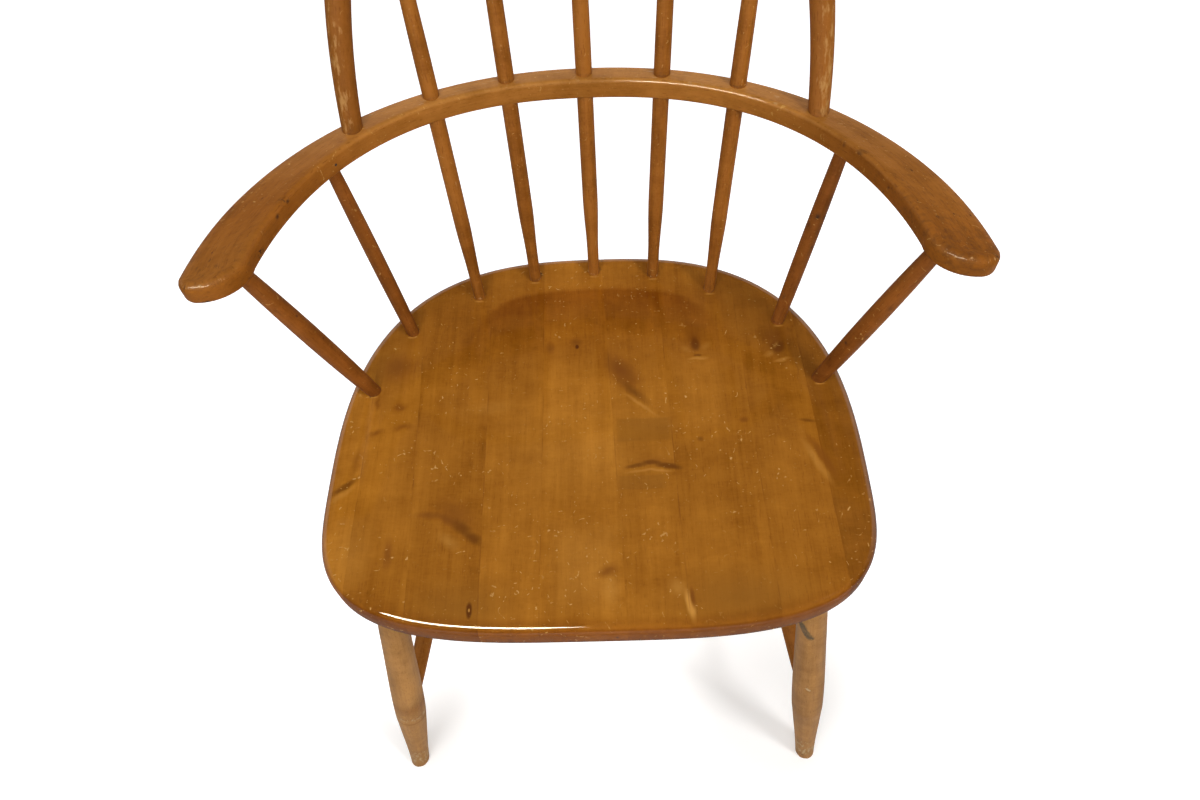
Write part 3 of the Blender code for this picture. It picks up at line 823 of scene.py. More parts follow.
@dataclass(frozen=True)
class WoodFinish:
    """Amber-stained birch under a worn varnish.

    Attributes:
        light: Lighter wood, linear.
        dark: Darker wood, linear.
        contrast: Strength of the grain.
        pores: Strength of the short dark pores.
        grime: Colour of gathered dirt, also used for painted contact shade.
        rub: Colour where the varnish is rubbed away.
        dents: Strength of small marks.
        gloss: Roughness of the clean varnish.
        relief: Depth of the grain in metres.
        coat: Weight of the clear coat where the varnish is polished.
        specular: Strength of the dull sheen.
        bump: Strength of the relief.
    """

    name: str
    light: Colour
    dark: Colour
    contrast: float = 0.8
    pores: float = 0.5
    grime: Colour = (0.060, 0.028, 0.012)
    rub: Colour = (0.50, 0.27, 0.10)
    dents: float = 0.35
    dent: Colour = (0.60, 0.33, 0.085)
    gloss: float = 0.30
    relief: float = 0.00025
    coat: float = 0.6
    specular: float = 0.05
    coat_roughness: float = 0.05
    bump: float = 0.6

    def material(self) -> Material:
        """Builds the finish's material.

        Returns:
            The material, made once for each finish.
        """
        known = bpy.data.materials.get(self.name)
        if known:
            return known
        material, graph, shader = new_material(self.name)
        shader.inputs["Specular IOR Level"].default_value = self.specular
        shader.inputs["Coat Roughness"].default_value = self.coat_roughness
        coat = graph.math("MULTIPLY", graph.attribute(Layer.POLISH), self.coat)
        graph.feed(shader.inputs["Coat Weight"], coat)
        grain_at = self.grain_place(graph)
        amounts = {"Contrast": self.contrast, "Pores": self.pores}
        grain = graph.group(Grain.tree(), Vector=grain_at, Light=self.light, Dark=self.dark, **amounts)
        wear_and_shade = graph.group(
            WearAndShade.tree(),
            Vector=grain_at,
            Color=self.marked(graph, grain.outputs["Color"]),
            # The shade layer is mostly painted shade; the grime layer holds dirt and painted contact shade.
            Shade=graph.attribute(Layer.SHADE),
            Grime=graph.attribute(Layer.GRIME),
            Grime_Color=self.grime,
            Rub=graph.attribute(Layer.RUB),
            Rub_Color=self.rub,
            Dents=self.dents,
            Dent_Color=self.dent,
            Gloss=self.gloss,
        )
        graph.feed(shader.inputs["Base Color"], wear_and_shade.outputs["Color"])
        graph.feed(shader.inputs["Roughness"], wear_and_shade.outputs["Roughness"])
        bump = graph.node("Bump")
        bump.inputs["Strength"].default_value = self.bump
        bump.inputs["Distance"].default_value = self.relief
        height = graph.math("ADD", grain.outputs["Height"], wear_and_shade.outputs["Height"])
        graph.feed(bump.inputs["Height"], height)
        graph.feed(shader.inputs["Normal"], bump.outputs["Normal"])
        return material

    def grain_place(self, graph: NodeGraph) -> Socket:
        """Coordinates that follow the grain."""
        return graph.attribute(Layer.GRAIN, "Vector")

    def marked(self, graph: NodeGraph, colour: Socket) -> Socket:
        """Adds marks of this finish alone to the grain's colour; plain wood has none."""
        return colour


@dataclass(frozen=True)
class Mark:
    """A knot, flame or stain at a place on the seat.

    Attributes:
        place: X and Y in metres.
        length: Half length.
        width: Half width.
        turn: Angle of its length from X in degrees.
        colour: Colour that it turns the wood to.
        amount: Share of that colour at its core.
        core: Share of its size that is fully coloured.
        wave: Unevenness of its edge in metres.
        square: Whether it is a straight-edged patch.
    """

    place: Pair
    length: float
    width: float
    turn: float
    colour: Colour
    amount: float
    core: float = 0.2
    wave: float = 0.004
    square: bool = False

    def values(self) -> dict[str, float]:
        """What feeds the figure's own inputs.

        Returns:
            Numbers by input name.
        """
        shape = {"Turn": math.radians(self.turn), "Length": self.length, "Width": self.width}
        edge = {"Core": self.core, "Wave": self.wave, "Square": float(self.square)}
        return {"Centre_X": self.place[0], "Centre_Y": self.place[1], **shape, **edge}


DARK: Colour = (0.105, 0.030, 0.004)
BROWN: Colour = (0.215, 0.068, 0.008)
OLIVE: Colour = (0.255, 0.098, 0.012)
PALE: Colour = (0.56, 0.255, 0.045)

SEAT_MARKS = (
    Mark((-0.015, -0.085), 0.11, 0.085, 0.0, PALE, 0.14, 0.0),
    Mark((-0.012, -0.208), 0.042, 0.06, 0.0, PALE, 0.22, 0.2, 0.006, True),
    Mark((-0.12, -0.245), 0.075, 0.04, 0.0, OLIVE, 0.6, 0.0),
    Mark((0.125, -0.24), 0.1, 0.042, 0.0, OLIVE, 0.7, 0.0),
    Mark((0.045, 0.08), 0.04, 0.032, 0.0, BROWN, 0.12, 0.0),
    Mark((-0.04, 0.09), 0.04, 0.028, 0.0, BROWN, 0.1, 0.0),
    Mark((0.12, 0.095), 0.032, 0.026, 0.0, BROWN, 0.35, 0.0),
    Mark((-0.131, -0.153), 0.03, 0.018, -36.0, BROWN, 0.65, 0.0),
    Mark((-0.155, -0.1545), 0.02, 0.0055, -3.0, BROWN, 0.75, 0.1),
    Mark((-0.1385, -0.159), 0.014, 0.0062, -26.0, BROWN, 0.9, 0.1),
    Mark((-0.123, -0.169), 0.019, 0.009, -43.0, DARK, 0.62, 0.1),
    Mark((-0.1125, -0.1785), 0.011, 0.0074, -30.0, DARK, 0.62),
    Mark((-0.135, -0.181), 0.018, 0.009, -42.0, PALE, 0.35, 0.0),
    Mark((-0.1116, -0.2469), 0.0034, 0.0095, 0.0, DARK, 0.95, 0.5, 0.0012),
    Mark((-0.1116, -0.2469), 0.0012, 0.0022, 0.0, PALE, 0.85, 0.3, 0.0005),
    Mark((0.1044, 0.05), 0.02, 0.032, 0.0, BROWN, 0.6, 0.0),
    Mark((0.094, 0.031), 0.009, 0.005, -35.0, PALE, 0.3, 0.0),
    Mark((0.115, 0.034), 0.009, 0.006, 35.0, PALE, 0.3, 0.0),
    Mark((0.1044, 0.0385), 0.008, 0.015, 4.0, BROWN, 0.8, 0.3, 0.003),
    Mark((0.1044, 0.037), 0.0056, 0.0112, 4.0, DARK, 0.62, 0.4, 0.0025),
    Mark((0.106, 0.0185), 0.015, 0.0032, 0.0, PALE, 0.6),
    Mark((0.106, 0.0225), 0.006, 0.0022, 0.0, DARK, 0.6),
    Mark((0.1883, 0.038), 0.018, 0.026, -8.0, BROWN, 0.7, 0.0),
    Mark((0.179, 0.019), 0.009, 0.005, 20.0, PALE, 0.35, 0.0),
    Mark((0.1883, 0.0267), 0.0098, 0.011, -20.0, DARK, 0.62, 0.3, 0.007),
    Mark((0.1865, 0.0295), 0.003, 0.007, -30.0, PALE, 0.3, 0.1, 0.003),
    Mark((0.1905, 0.0105), 0.012, 0.003, 12.0, PALE, 0.45),
    Mark((-0.02, 0.045), 0.01, 0.008, 0.0, BROWN, 0.75, 0.0),
    Mark((-0.0189, 0.0389), 0.0026, 0.0034, 0.0, DARK, 0.95, 0.5, 0.001),
    Mark((-0.047, 0.038), 0.008, 0.011, 0.0, BROWN, 0.6, 0.0),
    Mark((0.026, 0.008), 0.04, 0.02, -52.0, BROWN, 1.0, 0.0),
    Mark((0.04, -0.02), 0.03, 0.0075, -45.0, DARK, 0.55, 0.0),
    Mark((0.045, -0.0345), 0.03, 0.0028, -41.0, PALE, 0.4),
    Mark((0.0472, -0.064), 0.03, 0.015, 0.0, OLIVE, 0.55, 0.75, 0.001, True),
    Mark((0.043, -0.123), 0.025, 0.0085, 0.0, OLIVE, 0.45, 0.75, 0.001, True),
    Mark((0.056, -0.101), 0.026, 0.008, -4.0, BROWN, 0.5, 0.0),
    Mark((0.038, -0.1045), 0.017, 0.0034, 10.0, DARK, 0.6, 0.2, 0.003),
    Mark((0.053, -0.1015), 0.013, 0.0036, -4.0, DARK, 0.6, 0.2, 0.003),
    Mark((0.069, -0.1065), 0.017, 0.0046, -12.0, DARK, 0.75, 0.3, 0.003),
    Mark((0.042, -0.11), 0.02, 0.0022, 8.0, PALE, 0.4, 0.2, 0.002),
    Mark((0.06, -0.1105), 0.017, 0.0022, -10.0, PALE, 0.45, 0.2, 0.002),
    Mark((0.0796, -0.247), 0.005, 0.019, 10.0, PALE, 0.95, 0.3, 0.0015),
    Mark((0.082, -0.24), 0.0034, 0.014, 4.0, BROWN, 1.0, 0.2, 0.0015),
    Mark((0.07, -0.23), 0.011, 0.014, 30.0, PALE, 0.4, 0.0),
    Mark((0.0091, -0.2133), 0.015, 0.0085, 20.0, BROWN, 0.85, 0.0),
    Mark((0.012, -0.23), 0.011, 0.02, 0.0, PALE, 0.32, 0.0),
    Mark((-0.238, -0.1225), 0.021, 0.005, 39.0, DARK, 0.7),
    Mark((-0.24, -0.131), 0.018, 0.0045, 39.0, PALE, 0.35),
    Mark((-0.231, -0.095), 0.006, 0.03, -6.0, BROWN, 0.6, 0.0, 0.006),
    Mark((-0.203, 0.015), 0.028, 0.028, 20.0, BROWN, 0.85, 0.0),
    Mark((-0.196, -0.0345), 0.011, 0.009, 20.0, BROWN, 0.85, 0.0, 0.008),
    Mark((-0.219, -0.0277), 0.005, 0.014, 0.0, BROWN, 0.8, 0.0, 0.006),
    Mark((-0.19, -0.0573), 0.016, 0.006, 10.0, BROWN, 0.75, 0.0, 0.008),
    Mark((-0.216, -0.064), 0.012, 0.0055, 30.0, BROWN, 0.8, 0.0, 0.008),
    Mark((-0.225, -0.195), 0.03, 0.055, 0.0, PALE, 0.22, 0.0),
    Mark((-0.189, -0.192), 0.007, 0.022, 0.0, BROWN, 0.8, 0.0, 0.004),
    Mark((-0.105, -0.035), 0.034, 0.013, 8.0, PALE, 0.16, 0.0),
    Mark((0.209, -0.11), 0.036, 0.006, -66.0, PALE, 0.35),
    Mark((0.215, -0.105), 0.038, 0.0065, -66.0, BROWN, 0.85),
    Mark((0.206, -0.0635), 0.012, 0.0032, -8.0, DARK, 0.6, 0.1, 0.002),
    Mark((0.101, -0.078), 0.005, 0.004, 0.0, DARK, 0.5, 0.1, 0.002),
    Mark((0.145, -0.059), 0.007, 0.005, 10.0, BROWN, 0.9, 0.1, 0.002),
)


@dataclass(frozen=True)
class SeatFinish(WoodFinish):
    """The seat's wood: staves of unlike tone with tight joints, knots and flames.

    Attributes:
        joint_width: Half width of a joint line in metres.
        joint_breaks: Noise that breaks the joint lines.
        joint_range: Noise at which a line starts and is full, and its strength there.
        apart: Shift of the grain for a unit of tone.
        tone_powers: Powers of the tone in red, green and blue.
        wobble: Noise that makes the figures' edges uneven.
    """

    marks: tuple[Mark, ...] = SEAT_MARKS
    joint: Colour = (0.130, 0.038, 0.006)
    joint_width: float = 0.0009
    joint_breaks: Cloud = Cloud(38.0, 3.0)
    joint_range: tuple[float, ...] = (0.40, 0.75, 0.0, 0.45)
    apart: Triple = (0.0, 3.7, 9.1)
    tone_powers: Triple = (1.0, 1.15, 1.3)
    wobble: Cloud = Cloud(130.0, 3.0)

    def grain_place(self, graph: NodeGraph) -> Socket:
        """Coordinates that follow the grain, set apart from stave to stave."""
        apart = graph.vector("MULTIPLY", graph.attribute(Layer.TONE), self.apart)
        return graph.vector("ADD", graph.attribute(Layer.GRAIN, "Vector"), apart)

    def marked(self, graph: NodeGraph, colour: Socket) -> Socket:
        """Adds the staves' tones, their joints and the figures.

        Args:
            graph: Graph to build in.
            colour: The grain's colour.

        Returns:
            The marked colour.
        """
        tone = graph.attribute(Layer.TONE)
        channels = [graph.math("POWER", tone, power) for power in self.tone_powers]
        colour = graph.mix(1.0, colour, graph.step(graph.node("CombineColor"), *channels), "MULTIPLY")
        flat = graph.attribute(Layer.GRAIN, "Vector")
        wobble = graph.vector("ADD", self.wobble.node(graph, flat).outputs["Color"], (-NOISE_MEAN,) * 3)
        wobble_x, _, wobble_y = graph.split(wobble)
        x, _, y = graph.split(flat)
        here = {"X": x, "Y": y, "Wobble_X": wobble_x, "Wobble_Y": wobble_y}
        for mark in self.marks:
            figure = graph.group(Figure.tree(), **here, **mark.values())
            share = graph.math("MULTIPLY", figure.outputs["Mask"], mark.amount)
            colour = graph.mix(share, colour, mark.colour)
        line = graph.ramp(graph.attribute(Layer.SEAM), self.joint_width, 0.0)
        uneven = graph.ramp(self.joint_breaks.value(graph, flat), *self.joint_range)
        return graph.mix(graph.math("MULTIPLY", line, uneven), colour, self.joint)


SEAT_FINISH = SeatFinish(
    "seat_varnished_birch",
    (0.460, 0.176, 0.018),
    (0.270, 0.091, 0.006),
    contrast=0.85,
    pores=0.3,
    dents=0.9,
    gloss=0.40,
    coat=1.0,
    specular=0.0,
)
# Its colours are raised so that the rear top, which gets no shade, shows a partly painted sheen; the shade
# layer brings the sides and arms down from it.
BOW_FINISH = WoodFinish(
    "bow_varnished_birch",
    (0.535, 0.228, 0.047),
    (0.325, 0.128, 0.019),
    contrast=0.85,
    pores=0.55,
    dents=0.6,
    gloss=0.42,
    coat=0.45,
)
HOOP_FINISH = WoodFinish(
    "hoop_varnished_birch",
    (0.330, 0.116, 0.021),
    (0.210, 0.068, 0.008),
    rub=(0.42, 0.205, 0.058),
    gloss=0.45,
)
SPINDLE_FINISH = WoodFinish(
    "spindle_varnished_birch",
    (0.345, 0.120, 0.017),
    (0.205, 0.064, 0.006),
    contrast=1.3,
    dents=0.6,
    gloss=0.45,
    specular=0.08,
)
ARM_SPINDLE_FINISH = WoodFinish(
    "arm_spindle_varnished_birch",
    (0.290, 0.090, 0.013),
    (0.172, 0.050, 0.005),
    contrast=1.2,
    dents=0.6,
    gloss=0.45,
    specular=0.08,
)
LEG_FINISH = WoodFinish(
    "leg_varnished_birch",
    (0.446, 0.212, 0.054),
    (0.265, 0.115, 0.024),
    contrast=1.1,
    grime=(0.090, 0.064, 0.034),
    rub=(0.45, 0.31, 0.15),
    dents=0.5,
    gloss=0.45,
    specular=0.12,
)


@dataclass(frozen=True)
class SteelFinish:
    """Dark steel of the small lock pin, with spots of rust."""

    name: str = "pin_dark_steel"
    colour: Colour = (0.030, 0.022, 0.018)
    rust: Colour = (0.09, 0.06, 0.04)
    metallic: float = 0.6
    spots: Cloud = Cloud(900.0, 3.0)
    roughness: tuple[float, ...] = (0.3, 0.7, 0.4, 0.7)

    def material(self) -> Material:
        """Builds the pin's material.

        Returns:
            The material.
        """
        material, graph, shader = new_material(self.name)
        shader.inputs["Metallic"].default_value = self.metallic
        spots = self.spots.value(graph, graph.node("TexCoord").outputs["Object"])
        graph.feed(shader.inputs["Base Color"], graph.mix(spots, self.colour, self.rust))
        graph.feed(shader.inputs["Roughness"], graph.ramp(spots, *self.roughness))
        return material


# Meshes


def put(name: str, data: ID) -> Object:
    """Adds an object to the scene.

    Args:
        name: Its name.
        data: Its mesh, lamp or camera.

    Returns:
        The object.
    """
    thing = bpy.data.objects.new(name, data)
    bpy.context.scene.collection.objects.link(thing)
    return thing


def mesh_from(bm: BMesh, name: str, material: Material) -> Mesh:
    """Turns a mesh in the making into a mesh, and frees it.

    Args:
        bm: Mesh in the making.
        name: Name of the piece.
        material: Its finish.

    Returns:
        The mesh.
    """
    mesh = bpy.data.meshes.new(name)
    bm.to_mesh(mesh)
    bm.free()
    mesh.materials.append(material)
    return mesh


class Shell:
    """A mesh in the making, with the layers that the finishes read."""

    def __init__(self) -> None:
        """Starts empty."""
        self.bm = bmesh.new()
        points = self.bm.verts.layers
        self.grain = points.float_vector.new(Layer.GRAIN.value)
        self.grime = points.float.new(Layer.GRIME.value)
        self.rub = points.float.new(Layer.RUB.value)
        self.shade = points.float.new(Layer.SHADE.value)
        self.polish = points.float.new(Layer.POLISH.value)

    def ring(self, places: list[Vector]) -> Ring:
        """Starts from a circle whose points are moved to their places.

        Args:
            places: Points in space, in order.

        Returns:
            The ring's points in the same order.
        """
        verts = bmesh.ops.create_circle(self.bm, segments=len(places), radius=1.0)["verts"]
        for vert, place in zip(verts, places):
            vert.co = place
        return verts

    def extrude(self, ring: Ring, places: list[Vector]) -> Ring:
        """Extrudes a closed ring and moves the new points to their places.

        Args:
            ring: Points of the ring in order.
            places: Where the new points go.

        Returns:
            The new ring's points in the same order.
        """
        new = bmesh.ops.extrude_edge_only(self.bm, edges=self.ring_edges(ring))["geom"]
        fresh = {item for item in new if isinstance(item, BMVert)}
        result = []
        for vert, place in zip(ring, places):
            other = next(e.other_vert(vert) for e in vert.link_edges if e.other_vert(vert) in fresh)
            other.co = place
            result.append(other)
        return result

    def ring_edges(self, ring: Ring) -> list[BMEdge]:
        """The edges of a closed ring."""
        return [self.bm.edges.get((a, b)) for a, b in zip(ring, ring[1:] + ring[:1])]

    def cap(self, ring: Ring) -> None:
        """Closes a ring with one face."""
        bmesh.ops.contextual_create(self.bm, geom=self.ring_edges(ring))

    def geometry(self) -> list[Union[BMVert, BMEdge, BMFace]]:
        """All points, edges and faces."""
        return [*self.bm.verts, *self.bm.edges, *self.bm.faces]

    def finish(self, name: str, material: Material, crease: float = 50.0) -> Object:
        """Makes the object.

        Args:
            name: Name of the piece.
            material: Its finish.
            crease: Angle in degrees above which an edge stays sharp.

        Returns:
            The object, linked to the scene.
        """
        bmesh.ops.remove_doubles(self.bm, verts=self.bm.verts, dist=MERGE_DISTANCE)
        bmesh.ops.recalc_face_normals(self.bm, faces=self.bm.faces)
        mesh = mesh_from(self.bm, name, material)
        mesh.shade_smooth()
        mesh.set_sharp_from_angle(angle=math.radians(crease))
        return put(name, mesh)


def attach(piece: Object, slot: Slot, *nodes: str) -> Object:
    """Makes a piece ride on the chair and stand for its solids.

    Args:
        piece: The piece.
        slot: Material slot of the record; not used.
        nodes: Solids that the piece stands for.

    Returns:
        The piece.
    """
    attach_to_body(piece, BODY)
    if nodes:
        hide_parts(*nodes)
    LOG.info("%s: %d faces, stands for %s", piece.name, len(piece.data.polygons), ", ".join(nodes) or "none")
    return piece


class SubAssembly(ABC):
    """A group of the chair's pieces that is built and dressed together."""

    @abstractmethod
    def build(self) -> list[Object]:
        """Models and dresses the pieces.

        Returns:
            The finished pieces.
        """


# Turned pieces


@dataclass
class Turning:
    """A piece turned on a lathe and laid along an axis.

    Attributes:
        name: Name of its solid.
        start: Lower end of the axis.
        end: Upper end of the axis.
        keys: (distance from the start, radius) pairs of the profile.
        seed: Number that sets its grain apart.
        grime_and_contact_shade: Bands of grime, and of painted contact shade where the piece meets another.
        rubbed: Rubbed bands.
        shaded: Darker bands.
        spacing: Largest distance between two rings.
        stains: Marks at places in space.
    """

    name: str
    start: Vector
    end: Vector
    keys: Profile
    seed: int
    finish: WoodFinish
    slot: Slot
    grime_and_contact_shade: list[Band] = field(default_factory=list)
    rubbed: list[Band] = field(default_factory=list)
    shaded: list[Band] = field(default_factory=list)
    segments: int = 36
    spacing: float = 0.005
    stains: tuple[Stain, ...] = ()
    stain_strength: float = 0.6
    stain_core: float = 0.4
    foot_bevel: float = 0.0012
    bevel_steps: int = 3

    def build(self, floor: bool = False) -> Object:
        """Turns and places the piece.

        Args:
            floor: Whether to cut the lower end level with the floor.

        Returns:
            The finished piece.
        """
        shell = Shell()
        bm = shell.bm
        profile = smooth_profile(self.keys, self.spacing)
        outline = [(profile[0][0], 0.0), *profile, (profile[-1][0], 0.0)]
        chain = [bm.verts.new((radius, 0.0, distance)) for distance, radius in outline]
        edges = [bm.edges.new(pair) for pair in zip(chain, chain[1:])]
        bmesh.ops.spin(
            bm,
            geom=chain + edges,
            cent=(0.0, 0.0, 0.0),
            axis=UP,
            angle=math.tau,
            steps=self.segments,
            use_merge=True,
        )
        bmesh.ops.remove_doubles(bm, verts=bm.verts, dist=MERGE_DISTANCE)
        self.mark(shell)
        turn = (self.end - self.start).to_track_quat("Z", "Y").to_matrix().to_4x4()
        bmesh.ops.transform(bm, matrix=Matrix.Translation(self.start) @ turn, verts=bm.verts)
        self.stain(bm)
        if floor:
            self.level_foot(shell)
        return attach(shell.finish(self.name + "_turned", self.finish.material()), self.slot, self.name)

    def mark(self, shell: Shell) -> None:
        """Writes grain, grime and painted contact shade, rubbing and darker bands while the axis is still
        upright.

        Args:
            shell: The turned mesh.
        """
        layers = (shell.grime, self.grime_and_contact_shade), (shell.rub, self.rubbed), (shell.shade, self.shaded)
        for vert in shell.bm.verts:
            vert[shell.grain] = vert.co + GRAIN_APART * self.seed
            for layer, bands in layers:
                for distance, half, strength in bands:
                    here = strength * smooth_step(half, 0.0, abs(vert.co.z - distance))
                    vert[layer] = max(vert[layer], here)

    def stain(self, bm: BMesh) -> None:
        """Writes the stains on the placed mesh.

        Args:
            bm: The placed mesh.
        """
        for start, end, half, layer in self.stains:
            values = bm.verts.layers.float[layer.value]
            run = end - start
            for vert in bm.verts:
                share = min(max((vert.co - start).dot(run) / run.length_squared, 0.0), 1.0)
                near = (vert.co - start - run * share).length
                here = self.stain_strength * smooth_step(half, half * self.stain_core, near)
                vert[values] = max(vert[values], here)

    def level_foot(self, shell: Shell) -> None:
        """Cuts the foot level with the floor and breaks its edge.

        Args:
            shell: The placed mesh.
        """
        cut = bmesh.ops.bisect_plane(
            shell.bm, geom=shell.geometry(), plane_co=(0.0, 0.0, 0.0), plane_no=UP, clear_inner=True
        )["geom_cut"]
        rim = [item for item in cut if isinstance(item, BMEdge)]
        bmesh.ops.contextual_create(shell.bm, geom=rim)
        bmesh.ops.bevel(
            shell.bm,
            geom=rim,
            offset=self.foot_bevel,
            segments=self.bevel_steps,
            profile=0.5,
            affect="EDGES",
            material=-1,
        )


def slant(direction: Vector) -> Pair:
    """How far a leaning axis runs for a unit of height, and for a unit of radius across a level face.

    Args:
        direction: The axis.

    Returns:
        Length per height and length per radius.
    """
    cosine = abs(direction.normalized().dot(UP))
    return 1.0 / cosine, math.sqrt(1.0 - cosine * cosine) / cosine


@dataclass
class BackSpindles(SubAssembly):
    """Five long spindles from the seat up through the bow to the hoop.

    Attributes:
        above_bow: How far the body stays at its full radius above the bow's middle.
        upper_rubs: Place of the rubbed band above the bow, and how much higher it is on each next spindle.
        lower_rubs: The same for the rubbed band below the bow, from the foot.
    """

    plan: Plan
    bow_angles: Triple = (0.0, 11.7, 25.1)
    hoop_angles: Triple = (0.0, 22.2, 48.1)
    foot_radius: float = 0.0060
    body_radius: float = 0.00775
    top_radius: float = 0.0050
    shank: float = 0.025
    taper: float = 0.065
    above_bow: float = 0.02
    hoop_radius: float = 0.011
    # Painted contact shade where a spindle meets the seat, the hoop and the bow.
    seat_contact_shade: Spread = (0.004, 0.35)
    hoop_contact_shade: Spread = (0.008, 0.3)
    under_bow_contact_shade: Spread = (0.004, 0.3)
    over_bow_contact_shade: Spread = (0.005, 0.35)
    upper_rubs: Pair = (0.05, 0.02)
    upper_rub: Spread = (0.07, 0.19)
    lower_rubs: Pair = (0.12, 0.015)
    lower_rub: Spread = (0.06, 0.19)
    foot_rubs: tuple[Band, ...] = ((0.03, 0.035, 0.19), (0.001, 0.0015, 0.35))

    def build(self) -> list[Object]:
        """Builds the spindles from left to right."""
        return [turning.build() for turning in self.turnings()]

    def turnings(self) -> list[Turning]:
        """The spindles from left to right."""
        outermost = len(self.bow_angles) - 1
        return [self.spindle(place, outermost) for place in range(-outermost, outermost + 1)]

    def spindle(self, place: int, outermost: int) -> Turning:
        """One spindle on the line from the hoop through the bow into the seat.

        Args:
            place: Place from the middle, less than 0 at the left.
            outermost: Place of the outermost spindle.

        Returns:
            The turning.
        """
        plan = self.plan
        sign = (place > 0) - (place < 0)
        on_hoop = plan.hoop(math.radians(self.hoop_angles[abs(place)]))
        on_bow = plan.bow(math.radians(self.bow_angles[abs(place)]), 0.5)
        bow_height = (plan.bow_top + plan.bow_underside) / 2
        top = Vector((sign * on_hoop.x, on_hoop.y, on_hoop.z))
        middle = Vector((sign * on_bow.x, on_bow.y, bow_height))
        rise = (top - middle).normalized()
        per_height, _ = slant(rise)
        foot = middle - rise * (bow_height - plan.seat_top + HIDDEN_END) * per_height
        on_seat = HIDDEN_END * per_height
        at_bow = (middle - foot).length
        length = (top - foot).length
        entry = length - self.hoop_radius
        keys = [
            (0.0, self.foot_radius),
            (on_seat + self.shank, self.foot_radius),
            (on_seat + self.shank + self.taper, self.body_radius),
            (at_bow + self.above_bow, self.body_radius),
            ((at_bow + entry) / 2, (self.body_radius * 2 + self.top_radius) / 3),
            (entry, self.top_radius),
            (length, self.top_radius),
        ]
        half_bow = (plan.bow_top - plan.bow_underside) / 2 * per_height
        # Bands of painted contact shade at the seat, the hoop and both faces of the bow.
        grime_and_contact_shade = [
            (on_seat, *self.seat_contact_shade),
            (entry, *self.hoop_contact_shade),
            (at_bow - half_bow, *self.under_bow_contact_shade),
            (at_bow + half_bow, *self.over_bow_contact_shade),
        ]
        number = place + outermost + 1
        first, more = self.upper_rubs
        rubbed = [(at_bow + first + more * number, *self.upper_rub)]
        first, more = self.lower_rubs
        rubbed.append((first + more * number, *self.lower_rub))
        rubbed += [(on_seat + height, half, strength) for height, half, strength in self.foot_rubs]
        name = f"back_spindle_{number}"
        return Turning(name, foot, top, keys, number, SPINDLE_FINISH, Slot.SPINDLE, grime_and_contact_shade, rubbed)


@dataclass
class ArmSpindles(SubAssembly):
    """Two short spindles on each side, from the seat's rim to the underside of the bow.

    Attributes:
        seat_angles: Angles of the front and the rear spindle on the seat.
        bow_shares: Places of their heads between the bow's edges.
        rub: Rubbed band, with its place as a share of the length.
    """

    plan: Plan
    seat_angles: Pair = (71.7, 50.4)
    bow_angles: Pair = (74.7, 47.4)
    bow_shares: Pair = (0.42, 0.50)
    radii: tuple[Triple, Triple] = ((0.0070, 0.0091, 0.0066), (0.0064, 0.0075, 0.0060))
    side_inset: float = 0.0225
    rear_inset: float = 0.027
    hidden: float = HIDDEN_END * 2
    steps: int = 8
    # Painted contact shade where a spindle meets the seat and the bow; the grime field is dirt along the
    # whole spindle.
    seat_contact_shade: Spread = (0.005, 0.35)
    bow_contact_shade: Spread = (0.006, 0.35)
    grime: float = 0.17
    rub: Band = (0.45, 0.09, 0.17)
    foot_rub: Band = (0.002, 0.002, 0.35)
    first_seed: int = 11

    def build(self) -> list[Object]:
        """Builds the left pair, then the right pair."""
        return [turning.build() for turning in self.turnings()]

    def turnings(self) -> list[Turning]:
        """The left pair, then the right pair."""
        return [self.spindle(i, place, side) for side in Side for i, place in enumerate(Place)]

    def spindle(self, i: int, place: Place, side: Side) -> Turning:
        """One spindle with a gentle belly.

        Args:
            i: 0 for the front one, 1 for the rear one.
            place: Front or rear.
            side: Side of the chair.

        Returns:
            The turning.
        """
        plan = self.plan
        foot = plan.seat(math.radians(self.seat_angles[i]), self.side_inset, self.rear_inset)
        head = plan.bow(math.radians(self.bow_angles[i]), self.bow_shares[i])
        on_seat = Vector((side.value * foot.x, foot.y, plan.seat_top))
        on_bow = Vector((side.value * head.x, head.y, plan.bow_underside))
        rise = (on_bow - on_seat).normalized()
        start, end = on_seat - rise * self.hidden, on_bow + rise * self.hidden
        length = (end - start).length
        keys = bellied(length, self.radii[i], self.steps)
        # Painted contact shade at both ends, and grime along the whole length.
        grime_and_contact_shade = [
            (self.hidden, *self.seat_contact_shade),
            (length - self.hidden, *self.bow_contact_shade),
            (length / 2, length, self.grime),
        ]
        share, half, strength = self.rub
        height, *spread = self.foot_rub
        rubbed = [(length * share, half, strength), (self.hidden + height, *spread)]
        name = f"arm_spindle_{place.value}_{side.name.lower()}"
        seed = self.first_seed + i * 2 + side.value
        return Turning(name, start, end, keys, seed, ARM_SPINDLE_FINISH, Slot.SPINDLE, grime_and_contact_shade, rubbed)


